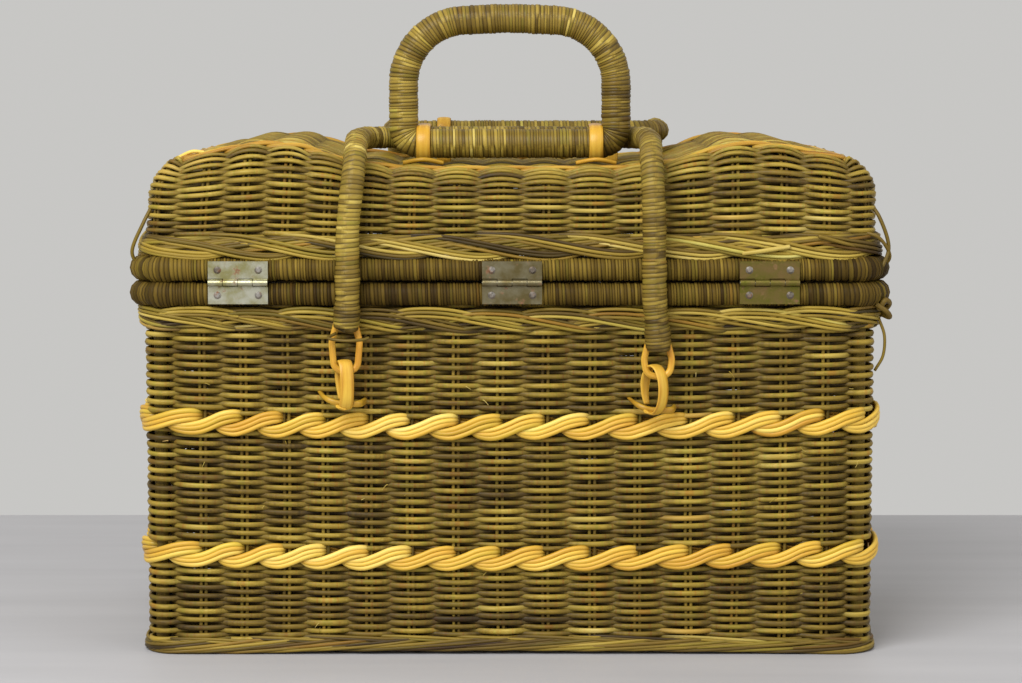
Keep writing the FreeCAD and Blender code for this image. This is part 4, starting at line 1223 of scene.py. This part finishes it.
@dataclass
class Bail:
    """One bail: where its rod runs, and the loops and links that hold it."""

    side: str  # back or front
    sign: int  # the side of the hamper that it's on, along y
    middle: float
    crossbar: tuple  # y and z
    bend: float
    pivot_y: float
    arm_y: float = 141.8
    half: float = 99.0
    radius: float = 7.45
    pivot_z: float = 181.5
    arm_end_z: float = 198.0
    knee_z: float = 232.5
    short_left: float = 0.0  # how much sooner the winding of the left arm ends
    raised: tuple = (0.0, 0.0)  # how much higher the left and right links are drawn
    leans: tuple = (1.5, 4.5, 3.8, 4.2)  # how far the left arm leans in, low and high, then the right arm
    lean_at: tuple = ((198, 40), (265, 60))  # the heights where these two start, and how far they go on
    winding: Winding = Winding(2.5, groove=0.46, tone=0.62, tone_spread=0.13, uneven=0.24, lump=0.2)
    lumps: tuple = ((9.0, 8.0, 0.9), (33.0, 7.0, 0.6), (52.0, 5.0, 0.4))  # from either end

    @property
    def is_back(self) -> bool:
        """Whether this is the bail on the hinge side."""
        return self.sign < 0

    def arm(self) -> list:
        """The corners of one arm, y and z, from its lower end to the crossbar."""
        top = [(self.sign * self.arm_y, self.crossbar[1]), self.crossbar]
        if not self.is_back:
            return [(self.arm_y, self.arm_end_z), *top]
        share = (self.arm_end_z - self.pivot_z) / (self.knee_z - self.pivot_z)
        foot_y = self.pivot_y + (self.arm_y - self.pivot_y) * share
        return [(-foot_y, self.arm_end_z), (-self.arm_y, self.knee_z), *top]

    def build(self) -> None:
        """Makes the rod, its loops, and the links and staples on the wall."""
        arm = self.arm()
        sides = ((self.middle - self.half, arm), (self.middle + self.half, arm[::-1]))
        radii = [60.0] * (len(arm) - 3) + [self.bend, 22.0]
        line = bent([(x, *at) for x, corners in sides for at in corners], radii + radii[::-1])
        line = line[(line[:, 0] > self.middle) | (line[:, 2] > self.arm_end_z + self.short_left)]
        part = (line[:, 0] - self.middle) / self.half
        line[:, 0] -= part * sum(
            np.where(part < 0, self.leans[i], self.leans[i + 2]) * ease((line[:, 2] - start) / over)
            for i, (start, over) in enumerate(self.lean_at)
        )
        rod = Rod(line, self.radius, (0, self.sign, 0))
        for far, length, height in self.lumps:
            rod.lumps += [(far, length, height), (rod.length - far, length, height)]
        node = f"{self.side}_bail"
        body = f"{node}_body"
        Canes().wind(rod, self.winding, node).piece(f"{node}_rod", body, "wrapped_rod", Finish.ROD, node)
        for index, name in enumerate(("left", "right")):
            at, raised = self.middle + self.half * (2 * index - 1), self.raised[index]
            chain = f"{self.side}_{name}"
            link_body = "back_links" if self.is_back else f"{chain}_link_body"
            stirrup = self.stirrup(at, raised, 0.0 if index else self.short_left)
            for canes, piece, piece_body, dressed in (
                (stirrup, f"{node}_{name}_stirrup", body, f"{node}_{name}_loop"),
                (self.ring(at, raised, index), f"{chain}_cane_link", link_body, f"{chain}_link"),
                (self.crescent(at, raised), f"{chain}_crescent", "basket", f"{chain}_staple"),
            ):
                canes.piece(piece, piece_body, "link_cane", Finish.LINK, dressed)

    def stirrup(self, at: float, foot: float, short: float) -> Canes:
        """The stirrup of honey cane on an arm's end, which leans as the arm does.

        Args:
            at: its place along the hamper.
            foot: how much higher its foot is drawn.
            short: how much sooner the arm's winding ends.
        """
        lean = math.atan2(self.pivot_y - self.arm_y, self.knee_z - self.pivot_z) if self.is_back else 0.0
        c, s = math.cos(lean), math.sin(lean)
        drop = (self.arm_end_z - self.pivot_z) / c + short
        half = [(-5.0, 0, drop + 9), (-8.9, 0, drop - 6), (-7.4, 0, foot + 0.8)]
        mirrored = [(-x, y, z) for x, y, z in reversed(half)]
        x, y, z = bent([*half, (0, 0, foot - 0.8), *mirrored], [12.0, 6.0, 14.0, 6.0, 12.0], 1.0).T
        line = xyz(x, c * y - s * z, s * y + c * z) + (at, self.sign * self.pivot_y, self.pivot_z)
        return Canes().lay(line, 2.2, (0, self.sign, 0), sides=10, tones=0.38)

    def ring(self, at: float, raised: float, is_right: bool) -> Canes:
        """The open ring of split cane between the staple and the stirrup, which curls out on the back."""
        tall, deep, aslant, curled = 15.3, 6.0, 5.6 if self.is_back and is_right else 2.2, 0.5
        turn = np.linspace(-0.66 * math.pi, 1.22 * math.pi, 64)
        cosine, sine = np.cos(turn), np.sin(turn)
        curl = np.clip((turn[0] + curled - turn) / curled, 0, 1) * self.is_back
        y, z = self.sign * (deep * cosine + 6.5 * curl), tall * sine - 11.1 * self.sign
        line = xyz(aslant * (cosine - 0.43) - 3.0 * curl, y, z)
        facing = unit(xyz(aslant * cosine, self.sign * deep * cosine, tall * sine))
        taper = np.interp(turn, [turn[0], turn[0] + 0.7, turn[-1] - 1.0, turn[-1]], [0.5, 1, 0.95, 0.5])
        place = (at, self.sign * LINK_Y, LINK_Z + raised * 0.95)
        return Canes().lay(line + place, SPLIT_HALF, facing, SPLIT_WIDE * taper, sides=12, tones=0.44)

    def crescent(self, at: float, lift: float) -> Canes:
        """The crescent of honey cane that stands out of the wall."""
        corners = [(-18, WALL_INSIDE, 0), (-13, LINK_Y, 0), (9, LINK_Y, 0), (11.5, WALL_INSIDE, 0)]
        line = bent(corners, [8.0, 4.5], 1.0)
        x = line[:, 0]
        line[:, 2] = np.where(x < -1, 6.4 * (np.abs(x + 1) / 17) ** 1.8, 0) - 2.4 + 1.3 * lift
        line *= (1, self.sign, 1 if self.is_back else 0.12)
        up = xyz(np.sin(x / 20), self.sign * np.cos(x / 20), 1e-3)
        wide = np.interp(x, [-18, -12, -3, 3, 12], [0.7, 1.8, 2.1, 2.1, 2.4])
        wide *= 1.0 if self.is_back else 0.8
        return Canes().lay(line + (at, 0, LINK_Z), 1.5, up, wide, sides=10, tones=0.2)


@dataclass
class Grip:
    """The carrying grip, the ties that hold it to the back bail, and the straps of the front bail."""

    bar: tuple = (-42.79943819338127, 326.1)
    radius: float = 9.9
    half: float = 70.4
    high: float = 83.0
    tie_x: float = 57.2  # how far from the middle the ties and straps lie
    winding: Winding = Winding(2.1, 0.45, tone=0.59, tone_spread=0.12, uneven=0.2, lump=0.16, sides=14)

    def build(self) -> None:
        """Makes the grip with its ties, and the lid's straps."""
        y, z = self.bar
        left, right, low = -self.half, self.half, self.high - 3.5
        corners = [(0, 0), (left, 0), (left, low), (0, self.high), (right, low), (right, 0), (0, 0)]
        line = bent([(x, y, z + up) for x, up in corners], [11.0, 42.0, 260.0, 42.0, 11.0])[:-1]
        ring = Canes().wind(Rod(line, self.radius, (0, -1, 0), closed=True), self.winding, "grip")
        ring.piece("grip_ring", "grip_body", "grip_wrap", Finish.GRIP, "grip")
        for name, at in (("left", -self.tie_x), ("right", self.tie_x)):
            for canes, owner, body, what in (
                (self.tie(at), "grip", "back_bail_body", "tie"),
                (self.strap(FRONT_MIDDLE + at), "lid", "lid", "strap"),
            ):
                node = f"{owner}_{name}_{what}"
                canes.piece(f"{owner}_{name}_binding", body, "honey_tie", Finish.LINK, node)

    def tie(self, at: float) -> Canes:
        """A honey cane band round the grip's bar and the back crossbar."""
        crossbar, bar = np.array(BACK_CROSSBAR), np.array(self.bar)
        around_crossbar, around_bar = 8.65, 11.6
        run = bar - crossbar
        tilt = math.acos((around_crossbar - around_bar) / np.linalg.norm(run))
        heading = math.atan2(run[1], run[0])
        points, facing = [], []
        for centre, radius, start, end, count in (
            (bar, around_bar, heading + tilt, heading - tilt, 18),
            (crossbar, around_crossbar, heading - tilt, heading + tilt - 2 * math.pi, 14),
        ):
            turn = np.linspace(start, end, count)
            facing.append(xyz(0.0, np.cos(turn), np.sin(turn)))
            points.append(facing[-1] * radius + (at, *centre))
        points, facing = np.concatenate(points), np.concatenate(facing)
        return Canes().lay(points, SPLIT_HALF, facing, SPLIT_WIDE, 12, closed=True, tones=0.35)

    def strap(self, at: float) -> Canes:
        """A honey cane strap over the front crossbar, let into the lid at both ends."""
        radius = 8.85
        turn, down = np.linspace(0, math.pi, 18), np.linspace(0, -22.0, 8)[1:]
        over = xyz(0.0, radius * np.cos(turn), radius * np.sin(turn))
        line = np.concatenate([xyz(0.0, radius, down)[::-1], over, xyz(0.0, -radius, down)])
        facing = unit(np.maximum(line, (-np.inf, -np.inf, 0)))
        return Canes().lay(line + (at, *FRONT_CROSSBAR), SPLIT_HALF, facing, SPLIT_WIDE, 12, tones=0.35)


@dataclass
class Loose:
    """Canes that have come away here and there, and ends that stand out."""

    pieces: tuple = (
        ("lid_loose_canes", "lid", "border", Finish.BORDER, (
            ([(229, -110, 292), (236.5, -116, 281), (242.5, -116, 262), (237, -119, 247)], 1.25, 0.4),
            ([(226, -118, 272), (236, -121, 268), (243.5, -114, 256), (238, -106, 246)], 1.15, 0.5),
            ([(-228, -112, 290), (-234, -117, 278), (-241.5, -117, 260), (-238, -112, 249)], 1.2, 0.4),
            ([(148, -127.6, 258.6), (160, -130.2, 260.4), (178, -129.0, 263.2)], 1.5, 0.86),
            ([(226, -122, 262), (214, -128, 265), (196, -130, 270)], 1.2, 0.35),
        )),
        ("lid_honey_ends", "lid", "honey_band", Finish.HONEY, (
            ([(-214, -96, 318.5), (-205, -98, 322.5), (-197, -97, 322.0)], 1.2, 0.8),
            ([(44, -55, 313.6), (57, -60, 316.0), (70, -55, 313.6)], 1.5, 0.3),
            ([(-70, -55, 313.6), (-57, -60, 316.0), (-44, -55, 313.6)], 1.5, 0.2),
        )),
        ("arm_loose_end", "back_bail_body", "wrapped_rod", Finish.ROD, (
            ([(-110, -141, 209), (-114.5, -146, 206.5), (-104, -149.4, 205.2), (-93, -147.5, 205.6),
              (-89, -145, 206.6)], 1.0, 0.3),
        )),
        ("wall_loose_canes", "basket", "border", Finish.BORDER, (
            ([(236, -118, 222), (240, -119, 228), (243.5, -112, 225), (238, -104, 217)], 1.9, 0.35),
            ([(234, -120, 226), (241, -120, 221), (243.5, -114, 217), (238, -106, 219)], 1.7, 0.3),
            ([(237, -112, 216), (240.5, -114, 205), (240, -112, 192), (235, -110, 182)], 1.0, 0.4),
        )),
    )  # each piece's canes: their points, half their thickness and their tone

    def build(self) -> None:
        """Makes the loose canes and the fibres."""
        t = np.linspace(0, 1, 30)
        for name, body, slot, finish, table in self.pieces:
            canes = Canes()
            for points, radius, tone in table:
                canes.lay(smooth(t, points), radius, (0, -1, 0.01), sides=8, tones=tone)
            canes.piece(name, body, slot, finish)
        self.fibres()

    def fibres(self) -> None:
        """Short splinters and hairs on the long walls."""
        r, canes, t = rng("fibres"), Canes(), np.linspace(0, 1, 10)
        for _ in range(46):
            u, z = r.uniform(-8, 8) + r.choice([0, 24]), r.uniform(8, 215)
            ahead, lift, rise = r.uniform(-0.16, 0.16), r.uniform(1.0, 3.2), r.uniform(-4, 5)
            points, facing = WALL.at(u + ahead * t, z + rise * t**1.4, -0.6 + lift * t)
            canes.lay(points, 0.26 * (1.1 - 0.6 * t), facing, sides=5, tones=r.normal(0.9, 0.1))
        canes.piece("wall_fibres", "basket", "wicker", Finish.WEAVE)


@dataclass
class Hinges:
    """The three butt hinges, which keep the shapes of the frame's own leaves, pins and nails."""

    nodes: dict[str, bpy.types.Object]

    def build(self) -> None:
        """Gives each leaf, pin and set of nails its finish."""
        for name, node in self.nodes.items():
            if name.endswith("_leaf"):
                finish = Finish[f"TIN_{name.split('_')[0].upper()}"]
            elif name.endswith("_pin"):
                finish = Finish.STEEL
            elif name.endswith("_nails"):
                finish = Finish.NAIL
            else:
                continue
            for index in range(len(node.data.materials)):
                node.data.materials[index] = material_of(finish)
            log.info("%s keeps the frame's shape", name)


# ------------------------------------------------------------------ the room


@dataclass
class Studio:
    """The floor, the backdrop, the lamps and the camera."""

    eye: tuple = (0.8, -1932.0, 384.2)
    pitch_deg: float = 4.0
    lens: float = 100.2
    shift: float = -0.085
    floor_side: float = 2200.0  # from the middle to the edges
    floor_end: float = 432.0  # the far edge
    aim: tuple = (0, 0, 170.0)
    lamps: tuple = (("key", (-700, -1500, 1500), 1.3, 46.0), ("fill", (1300, -900, 900), 1.4, 7.0))

    def build(self) -> None:
        """Sets the room up."""
        self.floor()
        self.world()
        for name, at, size, power in self.lamps:
            light = bpy.data.lights.new(name, "AREA")
            light.size, light.energy = size, power
            lamp = place_object(name, light)
            lamp.location = Vector(at) * MM
            lamp.rotation_euler = (Vector(self.aim) * MM - lamp.location).to_track_quat("-Z", "Y").to_euler()
        self.camera()

    def floor(self) -> None:
        """A pale painted board that ends a little behind the hamper."""
        bpy.ops.mesh.primitive_plane_add(size=2 * self.floor_side * MM)
        floor = bpy.context.object
        floor.name = "floor"
        for vertex in floor.data.vertices:
            vertex.co.y = min(vertex.co.y, self.floor_end * MM)
        board = bpy.data.materials.new("pale_board")
        s = Shader(board)
        stretched = s.node("ShaderNodeMapping", {}, {"Vector": s.place(), "Scale": (3.0, 26.0, 1.0)})
        grain = s.noise(stretched, detail=4.0)
        s.surface({"Base Color": s.mix(grain, (0.37, 0.365, 0.375), (0.475, 0.47, 0.48)), "Roughness": 0.6})
        floor.data.materials.append(board)

    def world(self) -> None:
        """An even pale surround, which lights the hamper a little whiter than it looks as a backdrop."""
        bpy.context.scene.world = bpy.data.worlds.new("surround")
        s = Shader(bpy.context.scene.world)
        kinds = ("Camera", "Glossy", "Transmission")
        camera, glossy, through = (s.node("ShaderNodeLightPath", {}, {}, f"Is {kind} Ray") for kind in kinds)
        seen = s.node("ShaderNodeBackground", {}, {0: (0.575, 0.57, 0.555, 1)})
        lit = s.node("ShaderNodeBackground", {}, {0: (1.0, 0.985, 0.96, 1), 1: 0.62})
        sockets = {0: (camera + glossy + through).clamped(), 1: lit, 2: seen}
        s.node("ShaderNodeOutputWorld", {}, {0: s.node("ShaderNodeMixShader", {}, sockets)})

    def camera(self) -> None:
        """The camera, square on to the hinge side and a little above the lid."""
        data = bpy.data.cameras.new("camera")
        data.lens, data.sensor_width, data.shift_y = self.lens, 36.0, self.shift
        data.clip_start, data.clip_end = 0.05, 30.0
        camera = place_object("camera", data)
        camera.location = Vector(self.eye) * MM
        camera.rotation_euler = (QUARTER - math.radians(self.pitch_deg), 0, 0)
        bpy.context.scene.camera = camera
        bpy.context.scene.view_settings.view_transform = "Standard"


def main() -> None:
    """Builds the hamper's looks round the frame, and then the room."""
    logging.basicConfig(level=logging.INFO, format="%(name)s: %(message)s")
    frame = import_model()
    bpy.ops.object.select_all(action="DESELECT")
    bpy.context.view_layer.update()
    for part in (
        Body(),
        Trims(),
        Lid(),
        Rims(),
        Bail("back", -1, BACK_MIDDLE, BACK_CROSSBAR, 36.0, LINK_Y, short_left=11.0, raised=(3.6, 0.4),
             leans=(1.5, 4.5, 2.6, 1.6)),
        Bail("front", 1, FRONT_MIDDLE, FRONT_CROSSBAR, 40.0, 141.8),
        Grip(),
        Loose(),
        Hinges(frame["nodes"]),
        Studio(),
    ):
        part.build()


if __name__ == "__main__":
    main()
